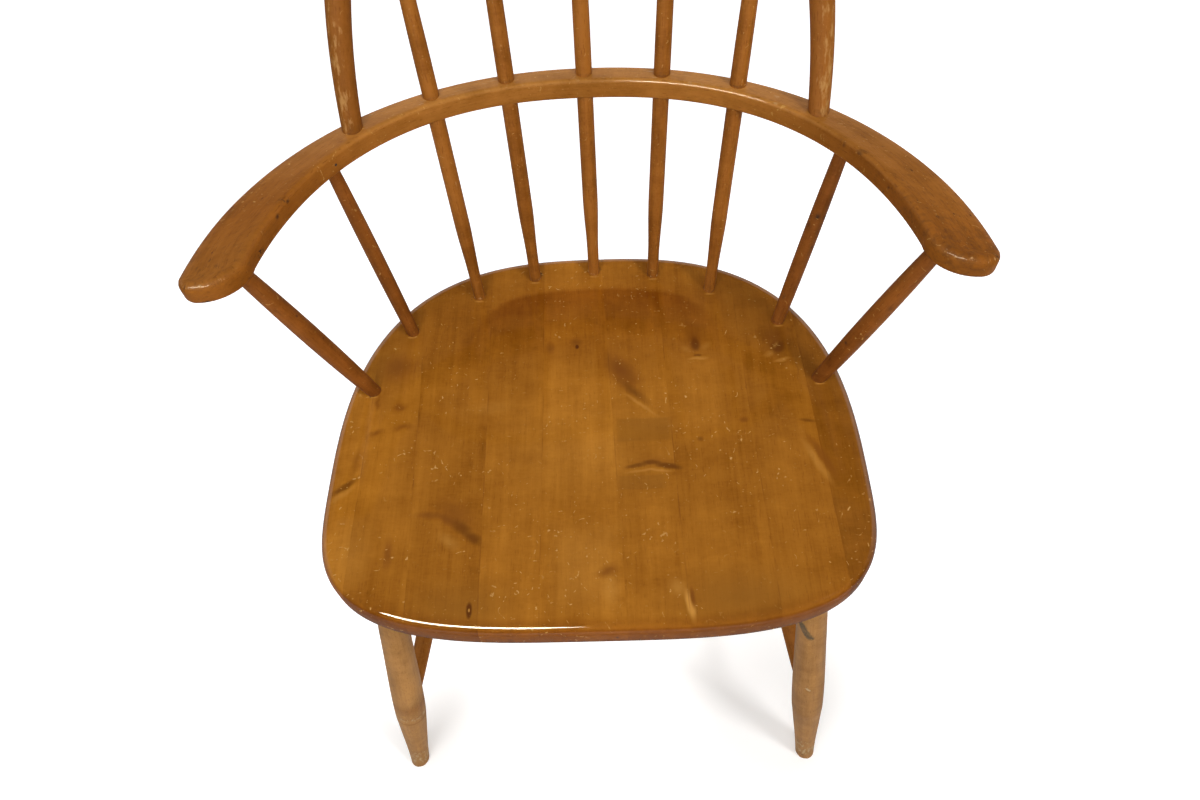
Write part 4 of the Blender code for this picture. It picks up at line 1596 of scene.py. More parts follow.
@dataclass
class UnderFrame(SubAssembly):
    """Four legs, a stretcher on each side and one across.

    Attributes:
        rear_share: X of the rear legs' tops as a share of the seat's half width.
        ring_height: Height of the pale worn ring on the front left leg.
        below_floor: Length of a leg that is cut off below the floor.
        gap: Length of the neck seen below the seat.
        blend: Length of the swell as a share of its height.
        belly: How much of the swell is left halfway up to the neck.
        stains: Marks on the front right leg.
    """

    plan: Plan
    front_side_inset: float = 0.060
    front_inset: float = 0.0585
    rear_share: float = 0.578
    rear_inset: float = 0.0866
    front_splay: float = math.radians(6.4)
    front_rake: float = math.radians(9.0)
    rear_splay: float = math.radians(7.9)
    rear_rake: float = math.radians(15.0)
    foot_radius: float = 0.0116
    swell_radius: float = 0.0174
    swell_height: float = 0.150
    ring_height: float = 0.150
    top_radius: float = 0.0130
    neck_radius: float = 0.0105
    shoulder: float = 0.012
    side_radius: float = 0.0112
    side_end_radius: float = 0.0085
    cross_radius: float = 0.0105
    cross_end_radius: float = 0.0060
    below_floor: float = 0.012
    gap: float = 0.002
    blend: float = 0.2
    belly: float = 0.6
    shoulder_share: float = 0.4
    segments: int = 64
    spacing: float = 0.0015
    foot_grime: Spread = (0.06, 0.26)
    swell_grime: Spread = (0.016, 0.12)
    # Painted contact shade and painted shade at the leg's neck, under the seat.
    neck_contact_shade: Spread = (0.02, 0.2)
    neck_shade: Spread = (0.03, 0.5)
    foot_rub: Band = (0.03, 0.07, 0.32)
    swell_rubs: tuple[Band, ...] = ((-0.03, 0.06, 0.22), (0.1, 0.09, 0.12))
    ring_rub: Spread = (0.013, 0.36)
    ring_shades: tuple[Band, ...] = ((-0.010, 0.0025, 0.7), (0.003, 0.0020, 0.5), (0.026, 0.020, 0.55))
    stains: tuple[Stain, ...] = (
        (Vector((0.1930, -0.2295, 0.337)), Vector((0.2028, -0.2367, 0.320)), 0.0075, Layer.GRIME),
        (Vector((0.2135, -0.2570, 0.211)), Vector((0.2170, -0.2585, 0.208)), 0.0024, Layer.RUB),
    )
    bar_steps: int = 10
    bar_share: float = 0.5
    # Painted contact shade where a stretcher enters a leg or a side stretcher.
    bar_contact_shade: Spread = (0.008, 0.35)
    bar_rub: Band = (0.35, 0.08, 0.12)
    first_seed: int = 21
    bar_seed: int = 31

    def build(self) -> list[Object]:
        """Builds the legs, then the stretchers.

        Returns:
            The finished pieces.
        """
        pieces = [
            self.leg(place, side, number).build(floor=True)
            for number, (place, side) in enumerate((p, s) for p in Place for s in Side)
        ]
        middles = []
        for side in Side:
            front = self.axis(Place.FRONT, side, self.swell_height)
            rear = self.axis(Place.REAR, side, self.swell_height)
            middles.append((front + rear) / 2)
            name = f"side_stretcher_{side.name.lower()}"
            bar = self.bar(name, front, rear, self.side_radius, self.side_end_radius, self.swell_radius)
            pieces.append(bar.build())
        ends = self.cross_radius, self.cross_end_radius, self.side_radius
        pieces.append(self.bar("cross_stretcher", *middles, *ends).build())
        return pieces

    def axis(self, place: Place, side: Side, height: float) -> Vector:
        """A point of a leg's axis.

        Args:
            place: Front or rear.
            side: Side of the chair.
            height: Height above the floor.

        Returns:
            The point.
        """
        plan = self.plan
        drop = plan.seat_underside - height
        if place is Place.FRONT:
            x = plan.seat_half_width - self.front_side_inset + drop * math.tan(self.front_splay)
            y = self.front_inset - plan.seat_front_reach - drop * math.tan(self.front_rake)
        else:
            x = plan.seat_half_width * self.rear_share + drop * math.tan(self.rear_splay)
            y = plan.seat_rear_reach - self.rear_inset + drop * math.tan(self.rear_rake)
        return Vector((side.value * x, y + plan.middle, height))

    def leg(self, place: Place, side: Side, number: int) -> Turning:
        """A leg with a low swell and a long taper to both ends.

        Args:
            place: Front or rear.
            side: Side of the chair.
            number: Number that sets its grain apart.

        Returns:
            The turning.
        """
        start = self.axis(place, side, -self.below_floor)
        end = self.axis(place, side, self.plan.seat_underside + HIDDEN_END)
        per_height, per_radius = slant(end - start)

        def along(height: float) -> float:
            """Distance along the leg at a height."""
            return (height + self.below_floor) * per_height

        neck = along(self.plan.seat_underside) - self.neck_radius * per_radius - self.gap
        swell = along(self.swell_height)
        slope = (self.swell_radius - self.foot_radius) / self.swell_height
        blend = self.swell_height * self.blend
        near_neck = self.neck_radius * self.shoulder_share + self.top_radius * (1 - self.shoulder_share)
        keys = [
            (0.0, self.foot_radius - slope * self.below_floor),
            (swell - blend, self.swell_radius - slope * blend),
            (swell - blend / 3, self.swell_radius - slope * blend / 6),
            (swell + blend / 2, self.swell_radius),
            ((swell + neck) / 2, self.top_radius + (self.swell_radius - self.top_radius) * self.belly),
            (neck - self.shoulder, self.top_radius),
            (neck - self.shoulder * self.shoulder_share, near_neck),
            (neck, self.neck_radius),
            (along(self.plan.seat_underside) + HIDDEN_END, self.neck_radius),
        ]
        # The neck's bands, here and in shaded, are painted shade under the seat.
        grime_and_contact_shade = [(0.0, *self.foot_grime), (swell, *self.swell_grime), (neck, *self.neck_contact_shade)]
        height, *spread = self.foot_rub
        rubbed = [(along(height), *spread), *self.moved(self.swell_rubs, swell)]
        shaded = [(neck, *self.neck_shade)]
        if side is Side.LEFT and place is Place.FRONT:
            ring = along(self.ring_height)
            rubbed.append((ring, *self.ring_rub))
            shaded += self.moved(self.ring_shades, ring)
        stains = self.stains if side is Side.RIGHT and place is Place.FRONT else ()
        name = f"leg_{place.value}_{side.name.lower()}"
        seed = self.first_seed + number
        wear_and_shade = grime_and_contact_shade, rubbed, shaded, self.segments, self.spacing, stains
        return Turning(name, start, end, keys, seed, LEG_FINISH, Slot.LEG, *wear_and_shade)

    @staticmethod
    def moved(bands: tuple[Band, ...], place: float) -> list[Band]:
        """Bands that count from a place, as bands that count from the start."""
        return [(place + distance, half, strength) for distance, half, strength in bands]

    def bar(
        self, name: str, start: Vector, end: Vector, radius: float, end_radius: float, reach: float
    ) -> Turning:
        """A stretcher that swells to its middle.

        Args:
            name: Name of the piece.
            start: Axis of the piece that it enters.
            end: Axis of the other piece that it enters.
            radius: Radius at its middle.
            end_radius: Radius at its ends.
            reach: Radius of the pieces that it enters.

        Returns:
            The turning.
        """
        run = (end - start).normalized()
        inside = reach * self.bar_share
        first, last = start + run * inside, end - run * inside
        length = (last - first).length
        keys = bellied(length, (end_radius, radius, end_radius), self.bar_steps)
        # Painted contact shade at both ends.
        grime_and_contact_shade = [(reach - inside, *self.bar_contact_shade), (length - reach + inside, *self.bar_contact_shade)]
        share, half, strength = self.bar_rub
        rubbed = [(length * share, half, strength)]
        seed = self.bar_seed + len(name)
        return Turning(name, first, last, keys, seed, SPINDLE_FINISH, Slot.LEG, grime_and_contact_shade, rubbed)


# Seat


@dataclass
class Seat(SubAssembly):
    """The dished seat, glued from nine staves.

    Attributes:
        joint_span: Y of the rear and the front place at which the joints are given.
        joints: X of each joint there.
        tones: Brightness of each stave.
        glue: Half length and half width of the bare glue before a spindle.
        crescent: Strength of the painted shade in the dish's rear, and what its outer line adds.
    """

    plan: Plan
    outline_points: int = 4096
    rim_points: int = 288
    top_round: float = 0.0085
    under_round: float = 0.0050
    round_steps: int = 7
    under_steps: int = 4
    under_shares: tuple[float, ...] = (0.05, 0.35, 0.65, 0.88)
    rim_steps: int = 7
    crest_steps: int = 3
    dish_steps: int = 44
    dish_depth: float = 0.0080
    dish_side_margin: float = 0.051
    dish_rear_margin: float = 0.045
    dish_front_margin: float = 0.005
    dish_tilt: float = math.radians(0.3)
    dish_roundness: float = 2.4
    rear_wall: Range = (-0.3, 0.7)
    crest_width: float = 0.0090
    crest_clearance: float = 0.016
    ring_reach: float = 0.0072
    glue: Pair = (0.0070, 0.0020)
    side_polish: float = 0.18
    polish_range: Range = (0.25, 0.6)
    rim_shade_range: Range = (0.96, 0.55)
    # Painted contact shade round the spindles' feet on the seat's top.
    foot_grime: Range = (0.012, 0.007)
    spindle_foot_shade: float = 0.3
    # Painted shade on the rim's lower rounding, darker towards the underside.
    under_rim_shade: Range = (0.009, 0.004)
    under_rim_shade_strength: float = 0.5
    beside_range: Range = (0.08, 0.17)
    crescent_range: Range = (1.012, 0.985)
    crescent_spread: float = 0.25
    crescent: Pair = (0.7, 0.2)
    crescent_line: Range = (0.80, 0.95)
    rear_range: Range = (-0.02, 0.10)
    rear_shade: float = 0.25
    front_edge: Range = (0.90, 0.96)
    front_range: Range = (0.6, 0.9)
    front_shade: float = 0.45
    joint_span: Pair = (0.120, -0.250)
    joints: tuple[Pair, ...] = (
        (-0.2247, -0.2247),
        (-0.1830, -0.1680),
        (-0.1115, -0.1040),
        (-0.0545, -0.0508),
        (0.0099, 0.0246),
        (0.0690, 0.0788),
        (0.1480, 0.1570),
        (0.2060, 0.2205),
    )
    tones: tuple[float, ...] = (1.10, 0.96, 0.93, 0.97, 1.07, 0.98, 0.92, 0.88, 0.66)

    def build(self) -> list[Object]:
        """Lofts, saws and marks the seat.

        Returns:
            The finished piece.
        """
        shell = Shell()
        self.loft(shell)
        self.saw_joints(shell)
        self.mark(shell)
        nodes = [f"seat_stave_{number}" for number in range(1, len(self.tones) + 1)]
        finish = replace(SEAT_FINISH, marks=SEAT_MARKS + self.glue_rings())
        return [attach(shell.finish("seat_glued", finish.material()), Slot.SEAT, *nodes)]

    def glue_rings(self) -> tuple[Mark, ...]:
        """Pale arcs of bare glue in front of the spindles' feet."""
        places = [(foot.x, foot.y - self.ring_reach) for foot in self.spindle_feet()]
        return tuple(Mark(place, *self.glue, 0.0, PALE, 0.75, wave=0.001) for place in places)

    def dish_centre(self) -> Vector:
        """Plan centre of the dish.

        Returns:
            The plan point.
        """
        rear = self.plan.seat_rear_reach - self.dish_rear_margin
        front = self.dish_front_margin - self.plan.seat_front_reach
        return self.plan.placed(Vector((0.0, (rear + front) / 2)))

    def dish_reach(self) -> Pair:
        """Size of the dish.

        Returns:
            Half its width and half its length.
        """
        length = self.plan.seat_rear_reach + self.plan.seat_front_reach
        half_length = (length - self.dish_rear_margin - self.dish_front_margin) / 2
        return self.plan.seat_half_width - self.dish_side_margin, half_length

    def dish_share(self, point: Vector) -> float:
        """Distance from the dish's centre as a share of its reach in that direction.

        Args:
            point: Plan point.

        Returns:
            The share, 1 on the dish's edge.
        """
        half_width, half_length = self.dish_reach()
        offset = point - self.dish_centre()
        power = self.dish_roundness
        total = abs(offset.x / half_width) ** power + abs(offset.y / half_length) ** power
        return total ** (1 / power)

    def dish(self, point: Vector) -> float:
        """Depth of the dish: a lens that leans back, with a low wall round its rear.

        Args:
            point: Plan point.

        Returns:
            Depth below the seat's top.
        """
        share = self.dish_share(point)
        offset = point - self.dish_centre()
        rear = smooth_step(*self.rear_wall, offset.y / max(offset.length, MERGE_DISTANCE))
        lean = max(offset.y, 0.0) * math.tan(self.dish_tilt)
        if share <= 1.0:
            hollow = 1 - share**2
            return self.dish_depth * (rear * hollow + (1 - rear) * hollow**2) + lean
        beyond = (share - 1.0) * self.dish_reach()[1]
        return max(lean * (1 - beyond / self.crest_width), 0.0)

    def loft(self, shell: Shell) -> None:
        """Runs rings from the underside's middle round the rim to the dish's middle.

        Args:
            shell: Mesh to build in.
        """
        plan = self.plan
        fine = [plan.seat(math.tau * i / self.outline_points) for i in range(self.outline_points)]
        rim = evenly_spaced(fine, self.rim_points)
        normals = outward_normals(rim)
        centre = self.dish_centre()

        def level(inset: float, height: float) -> list[Vector]:
            """A ring at a distance inside the rim."""
            return [(p - n * inset).to_3d() + UP * height for p, n in zip(rim, normals)]

        flat = [p.to_2d() for p in level(self.under_round, 0.0)]
        ring: Ring = []
        for share in self.under_shares:
            places = [centre.lerp(p, share).to_3d() + UP * plan.seat_underside for p in flat]
            if ring:
                ring = shell.extrude(ring, places)
            else:
                ring = shell.ring(places)
                shell.cap(ring)
        for inset, rise in self.rounding(self.under_round, self.under_steps):
            ring = shell.extrude(ring, level(inset, plan.seat_underside + self.under_round - rise))
            for vert in ring:
                vert[shell.polish] = self.side_polish
                # Painted shade on the rim's side and lower rounding.
                vert[shell.shade] = 1.0
        for inset, rise in reversed(self.rounding(self.top_round, self.round_steps)):
            ring = shell.extrude(ring, level(inset, plan.seat_top - self.top_round + rise))
            upper = smooth_step(*self.polish_range, rise / self.top_round)
            for vert in ring:
                vert[shell.polish] = self.side_polish + (1 - self.side_polish) * upper
                # Painted shade that grows as the top's rounding turns down to the side.
                vert[shell.shade] = smooth_step(*self.rim_shade_range, rise / self.top_round)
        edge = [p.to_2d() for p in level(self.top_round, 0.0)]
        for places in self.top_rings(edge, centre):
            heights = [plan.seat_top - self.dish(p) for p in places]
            ring = shell.extrude(ring, [p.to_3d() + UP * z for p, z in zip(places, heights)])
            for vert in ring:
                vert[shell.polish] = 1.0
        shell.cap(ring)

    @staticmethod
    def rounding(radius: float, steps: int) -> list[Pair]:
        """Insets and rises along a rounded edge, from its flat face to its side."""
        turns = [QUARTER_TURN * i / steps for i in range(steps + 1)]
        return [(radius * (1 - math.sin(t)), radius * math.cos(t)) for t in turns]

    def top_rings(self, edge: list[Vector], centre: Vector) -> list[list[Vector]]:
        """Plan rings from the rim's inner edge over the dish's crest to its middle.

        Args:
            edge: Inner edge of the rim's rounding.
            centre: Plan centre of the dish.

        Returns:
            The rings in order.
        """
        crest = []
        for point in edge:
            reach = (point - centre).length
            on_dish = reach / self.dish_share(point)
            crest.append(centre.lerp(point, min(on_dish, reach - self.crest_clearance) / reach))
        outside = [a + (b - a).normalized() * self.crest_width for a, b in zip(crest, edge)]
        rings = []
        for start, end, steps in ((edge, outside, self.rim_steps), (outside, crest, self.crest_steps)):
            for step in range(1, steps + 1):
                rings.append([a.lerp(b, step / steps) for a, b in zip(start, end)])
        shares = [1 - step / self.dish_steps for step in range(1, self.dish_steps)]
        return rings + [[centre.lerp(p, share) for p in crest] for share in shares]

    def joint_offset(self, joint: Pair, point: Vector) -> float:
        """How far a point lies to the right of a joint, along X."""
        share = (point.y - self.joint_span[0]) / (self.joint_span[1] - self.joint_span[0])
        return point.x - (joint[0] + (joint[1] - joint[0]) * share)

    def saw_joints(self, shell: Shell) -> None:
        """Cuts the faces along each joint, so that tones meet in a clean line.

        Args:
            shell: The lofted seat.
        """
        rear, front = self.joint_span
        for joint in self.joints:
            run = Vector((joint[1] - joint[0], front - rear, 0.0))
            bmesh.ops.bisect_plane(
                shell.bm, geom=shell.geometry(), plane_co=(joint[0], rear, 0.0), plane_no=run.cross(UP)
            )

    def mark(self, shell: Shell) -> None:
        """Writes grain, joints, tones, painted contact shade round the spindles' feet, painted shade on the
        rim's lower rounding, and painted shade on the top.

        Args:
            shell: The sawn seat.
        """
        bm = shell.bm
        seam = bm.verts.layers.float.new(Layer.SEAM.value)
        tone = bm.faces.layers.float.new(Layer.TONE.value)
        feet = self.spindle_feet()
        low = self.plan.seat_underside
        for vert in bm.verts:
            vert[shell.grain] = (vert.co.x, vert.co.z, vert.co.y)
            vert[seam] = min(abs(self.joint_offset(joint, vert.co)) for joint in self.joints)
            near = min((vert.co - foot).length for foot in feet)
            # Painted contact shade round the spindles' feet.
            foot_grime = self.spindle_foot_shade * smooth_step(*self.foot_grime, near)
            # Painted shade on the rim's lower rounding.
            under_rim_shade = self.under_rim_shade_strength * smooth_step(*self.under_rim_shade, vert.co.z - low)
            vert[shell.grime] = max(foot_grime, under_rim_shade)
            vert[shell.shade] = max(self.shade(vert.co.to_2d()), vert[shell.shade])
        for face in bm.faces:
            middle = face.calc_center_median()
            stave = sum(self.joint_offset(joint, middle) > 0 for joint in self.joints)
            face[tone] = self.tones[stave]

    def shade(self, point: Vector) -> float:
        """How dark the top is: painted shade in a crescent in the dish's rear and along the front edge, and a
        lighter darkening over the rest of the rear.

        Args:
            point: Plan point.

        Returns:
            A share from 0 to 1.
        """
        plan = self.plan
        share = self.dish_share(point)
        beside = smooth_step(*self.beside_range, abs(point.x))
        outer, inner = self.crescent_range
        inside = smooth_step(outer, inner - self.crescent_spread * beside, share)
        strength, line = self.crescent
        crescent = inside * (strength + line * (1 - beside) * smooth_step(*self.crescent_line, share))
        rear = smooth_step(*self.rear_range, point.y) * max(crescent, self.rear_shade)
        forward = max(plan.middle - point.y, 0.0) / plan.seat_front_reach
        power = plan.seat_front_roundness
        edge = (abs(point.x / plan.seat_half_width) ** power + forward**power) ** (1 / power)
        front = smooth_step(*self.front_edge, edge) * smooth_step(*self.front_range, forward)
        return max(rear, self.front_shade * front)

    def spindle_feet(self) -> list[Vector]:
        """Where the spindles enter the seat.

        Returns:
            Points on the seat's top.
        """
        feet = []
        for turning in BackSpindles(self.plan).turnings() + ArmSpindles(self.plan).turnings():
            rise = (turning.end - turning.start).normalized()
            feet.append(turning.start + rise * ((self.plan.seat_top - turning.start.z) / rise.z))
        return feet


# Bow and hoop


@dataclass
class ArmBow(SubAssembly):
    """The bent bow that widens into a paddle for each hand.

    Attributes:
        hand_length: Length over which the edges get rounder towards the tip.
        grime_and_shade: Grime everywhere, on the hands, the painted shade that the right hand adds, and on
            the tip's edge.
        side_shade: Painted shade on the sides, and what the arms add.
        top_shade: Darkening of the arms' tops, what the right one adds, and what its tip adds; these two make
            the sides differ by painted light and shade.
        rubs: Rubbing of the top, and what its rear adds, which is partly painted sheen.
        polish: Polish of the arms' tops, and what the rear adds.
    """

    plan: Plan
    hand_setback: float = 0.052
    outer_corner: float = 0.013
    inner_corner: float = 0.036
    steps: int = 110
    corner_steps: int = 14
    round_steps: int = 6
    top_round: float = 0.0035
    hand_round: float = 0.0070
    under_round: float = 0.0030
    under_gain: float = 0.5
    hand_length: float = 0.11
    deck_cuts: int = 7
    grime_and_shade: tuple[float, ...] = (0.08, 0.18, 0.04, 0.05)
    grime_range: Range = (0.24, 0.02)
    edge_depth: Range = (0.0012, 0.0)
    edge_range: Range = (0.05, 0.02)
    top_depth: Range = (0.003, 0.0005)
    arm_range: Range = (0.12, 0.36)
    tip_range: Range = (0.10, 0.02)
    side_shade: Pair = (0.45, 0.50)
    top_shade: Triple = (0.88, -0.10, 0.22)
    rubs: Pair = (0.12, 0.09)
    rub_range: Range = (0.3, 0.15)
    rub_depth: Range = (0.006, 0.001)
    ridge_depths: tuple[Range, Range] = ((0.0, 0.001), (0.004, 0.002))
    ridge_range: Range = (0.03, 0.012)
    ridge_rub: float = 0.17
    polish: Pair = (0.35, 0.65)
    polish_range: Range = (0.36, 0.20)
    polish_depth: Range = (0.0032, 0.0012)
    pin_angle: float = math.radians(49.5)
    pin_radius: float = 0.0013
    pin_flatness: float = 0.45
    pin_segments: tuple[int, int] = (16, 8)

    def build(self) -> list[Object]:
        """Lofts, marks and closes the bow, and adds its pin.

        Returns:
            The finished pieces.
        """
        shell = Shell()
        outer, inner = self.rails()
        lengths = self.lengths(outer, inner)
        loop = self.loop(len(outer) - 1)
        points = [self.rail_point(outer, inner, item) for item in loop]
        rings = self.loft(shell, loop, points, lengths)
        for ring in rings:
            for vert, (sign, number, on_outer) in zip(ring, loop):
                half = (outer[number] - inner[number]).length / 2
                vert[shell.grain] = (half if on_outer else -half, vert.co.z, sign * lengths[number])
                self.wear_and_shade(shell, vert, sign, lengths[number], lengths[-1] - lengths[number])
        cross = self.deck(shell, rings[0], loop) + self.deck(shell, rings[-1], loop)
        bmesh.ops.subdivide_edges(shell.bm, edges=cross, cuts=self.deck_cuts, use_grid_fill=True)
        return [attach(shell.finish("arm_bow_bent", BOW_FINISH.material()), Slot.BOW, "arm_bow"), self.pin()]

    def rails(self) -> tuple[list[Vector], list[Vector]]:
        """Outer and inner edge of the right half, from the rear's middle to the hand's tip.

        Returns:
            The two edges, with a point of one beside each point of the other.
        """
        plan = self.plan
        front = plan.middle + plan.bow_offset + self.hand_setback
        outer_end = angle_at(lambda angle: plan.bow(angle, 1.0), front + self.outer_corner)
        inner_end = angle_at(lambda angle: plan.bow(angle, 0.0), front + self.inner_corner)
        outer = [plan.bow(outer_end * i / self.steps, 1.0) for i in range(self.steps + 1)]
        inner = [plan.bow(inner_end * i / self.steps, 0.0) for i in range(self.steps + 1)]
        tip = Vector((outer[-1].x - self.outer_corner, front))
        width = tip.x - inner[-1].x
        for i in range(1, self.corner_steps + 1):
            turn = QUARTER_TURN * i / self.corner_steps
            across, along = math.cos(turn), 1 - math.sin(turn)
            outer.append(tip + Vector((across, along)) * self.outer_corner)
            inner.append(tip + Vector((-width * across, self.inner_corner * along)))
        return outer, inner

    @staticmethod
    def lengths(outer: list[Vector], inner: list[Vector]) -> list[float]:
        """Distance along the bow's middle line at each pair of edge points.

        Args:
            outer: Outer edge.
            inner: Inner edge.

        Returns:
            Distances from the rear's middle.
        """
        middles = [(a + b) / 2 for a, b in zip(outer, inner)]
        result = [0.0]
        for a, b in zip(middles, middles[1:]):
            result.append(result[-1] + (b - a).length)
        return result

    @staticmethod
    def loop(count: int) -> list[EdgePoint]:
        """The order of the outline's points, clockwise seen from above.

        Args:
            count: Number of the hand's tip.

        Returns:
            The points in order.
        """
        right = [(1, k, True) for k in range(count + 1)] + [(1, k, False) for k in range(count - 1, -1, -1)]
        left = [(-1, k, False) for k in range(1, count)] + [(-1, k, True) for k in range(count, 0, -1)]
        return right + left

    @staticmethod
    def rail_point(outer: list[Vector], inner: list[Vector], item: EdgePoint) -> Vector:
        """The plan point of one place on the outline.

        Args:
            outer: Outer edge.
            inner: Inner edge.
            item: The place.

        Returns:
            The plan point.
        """
        sign, number, on_outer = item
        point = (outer if on_outer else inner)[number]
        return Vector((sign * point.x, point.y))

    def loft(
        self, shell: Shell, loop: list[EdgePoint], points: list[Vector], lengths: list[float]
    ) -> list[Ring]:
        """Runs rings up the bow's edge, round its lower and upper corners.

        Args:
            shell: Mesh to build in.
            loop: Order of the outline's points.
            points: Plan points of the outline.
            lengths: Distances along the bow.

        Returns:
            The rings from the underside to the top.
        """
        plan = self.plan
        normals = outward_normals(points)
        hand = [smooth_step(lengths[-1] - self.hand_length, lengths[-1], lengths[k]) for _, k, _ in loop]
        top = [self.top_round + (self.hand_round - self.top_round) * share for share in hand]
        under = [self.under_round * (1 + self.under_gain * share) for share in hand]

        def places(radii: list[float], turn: float, height: float, up: int) -> list[Vector]:
            """A ring on the rounded corner; turn is 0 on the bow's side, and up is 1 on the upper corner."""
            rows = zip(points, normals, radii)
            return [
                (p - n * (r * (1 - math.cos(turn)))).to_3d() + UP * (height - up * r * (1 - math.sin(turn)))
                for p, n, r in rows
            ]

        turns = [QUARTER_TURN * i / self.round_steps for i in range(self.round_steps + 1)]
        rings = [shell.ring(places(under, turns[-1], plan.bow_underside, -1))]
        for turn in reversed(turns[:-1]):
            rings.append(shell.extrude(rings[-1], places(under, turn, plan.bow_underside, -1)))
        for turn in turns:
            rings.append(shell.extrude(rings[-1], places(top, turn, plan.bow_top, 1)))
        return rings

    def wear_and_shade(self, shell: Shell, vert: BMVert, sign: int, along: float, to_tip: float) -> None:
        """Writes a point's grime, painted shade, rubbing and polish; the two sides differ by painted light
        and shade.

        Args:
            shell: The mesh.
            vert: The point.
            sign: Sign of its side.
            along: Distance from the rear's middle.
            to_tip: Distance to the hand's tip.
        """
        depth = self.plan.bow_top - vert.co.z
        # Painted shade: the right hand is made darker than the left.
        everywhere, on_hands, right_hand_shade, on_edge = self.grime_and_shade
        hand = smooth_step(*self.grime_range, to_tip)
        edge = smooth_step(*self.edge_depth, depth) * smooth_step(*self.edge_range, to_tip)
        vert[shell.grime] = everywhere + (on_hands + right_hand_shade * sign) * hand + on_edge * edge
        on_top = smooth_step(*self.top_depth, depth)
        arm = smooth_step(*self.arm_range, along)
        # Painted shade on the sides; along the arms and at the tips the right and left tops differ by painted
        # light and shade.
        side, more = self.side_shade
        top, right, right_tip_shade = self.top_shade
        top += right * sign + right_tip_shade * sign * smooth_step(*self.tip_range, to_tip)
        vert[shell.shade] = (side + more * arm) * (1 - on_top) + top * on_top * arm
        # Rubbing on the top; the extra at the rear is partly painted sheen.
        rub, more = self.rubs
        rub += more * smooth_step(*self.rub_range, along)
        rising, falling = self.ridge_depths
        ridge = smooth_step(*rising, depth) * smooth_step(*falling, depth)
        ridge *= self.ridge_rub * smooth_step(*self.ridge_range, to_tip)
        vert[shell.rub] = rub * smooth_step(*self.rub_depth, depth) + ridge
        polish, more = self.polish
        polish += more * smooth_step(*self.polish_range, along)
        vert[shell.polish] = smooth_step(*self.polish_depth, depth) * polish

    @staticmethod
    def deck(shell: Shell, ring: Ring, loop: list[EdgePoint]) -> list[BMEdge]:
        """Closes the top or the underside with strips from edge to edge.

        Args:
            shell: The mesh.
            ring: Ring to close.
            loop: Order of its points.

        Returns:
            The edges across the bow.
        """
        shell.cap(ring)
        at = dict(zip(loop, ring))
        cross = []
        for (sign, number, on_outer), vert in at.items():
            across = at.get((sign, number, False))
            if on_outer and across:
                cross += bmesh.ops.connect_verts(shell.bm, verts=[vert, across])["edges"]
        return cross

    def pin(self) -> Object:
        """The head of a small lock pin on the bow's inner face, over the left rear spindle.

        Returns:
            The finished piece.
        """
        plan = self.plan
        point = plan.bow(self.pin_angle, 0.0)
        outwards = -plan.bow_inwards(self.pin_angle, 0.0)
        around, up = self.pin_segments
        bm = bmesh.new()
        bmesh.ops.create_uvsphere(bm, u_segments=around, v_segments=up, radius=self.pin_radius)
        bmesh.ops.scale(bm, vec=(1.0, 1.0, self.pin_flatness), verts=bm.verts)
        turn = outwards.to_3d().to_track_quat("Z", "Y").to_matrix().to_4x4()
        place = Matrix.Translation((point.x, point.y, (plan.bow_top + plan.bow_underside) / 2)) @ turn
        bmesh.ops.transform(bm, matrix=Matrix.Scale(-1, 4, (1, 0, 0)) @ place, verts=bm.verts)
        bmesh.ops.recalc_face_normals(bm, faces=bm.faces)
        mesh = mesh_from(bm, "bow_lock_pin", SteelFinish().material())
        mesh.shade_smooth()
        return attach(put("bow_lock_pin", mesh), Slot.BOW)


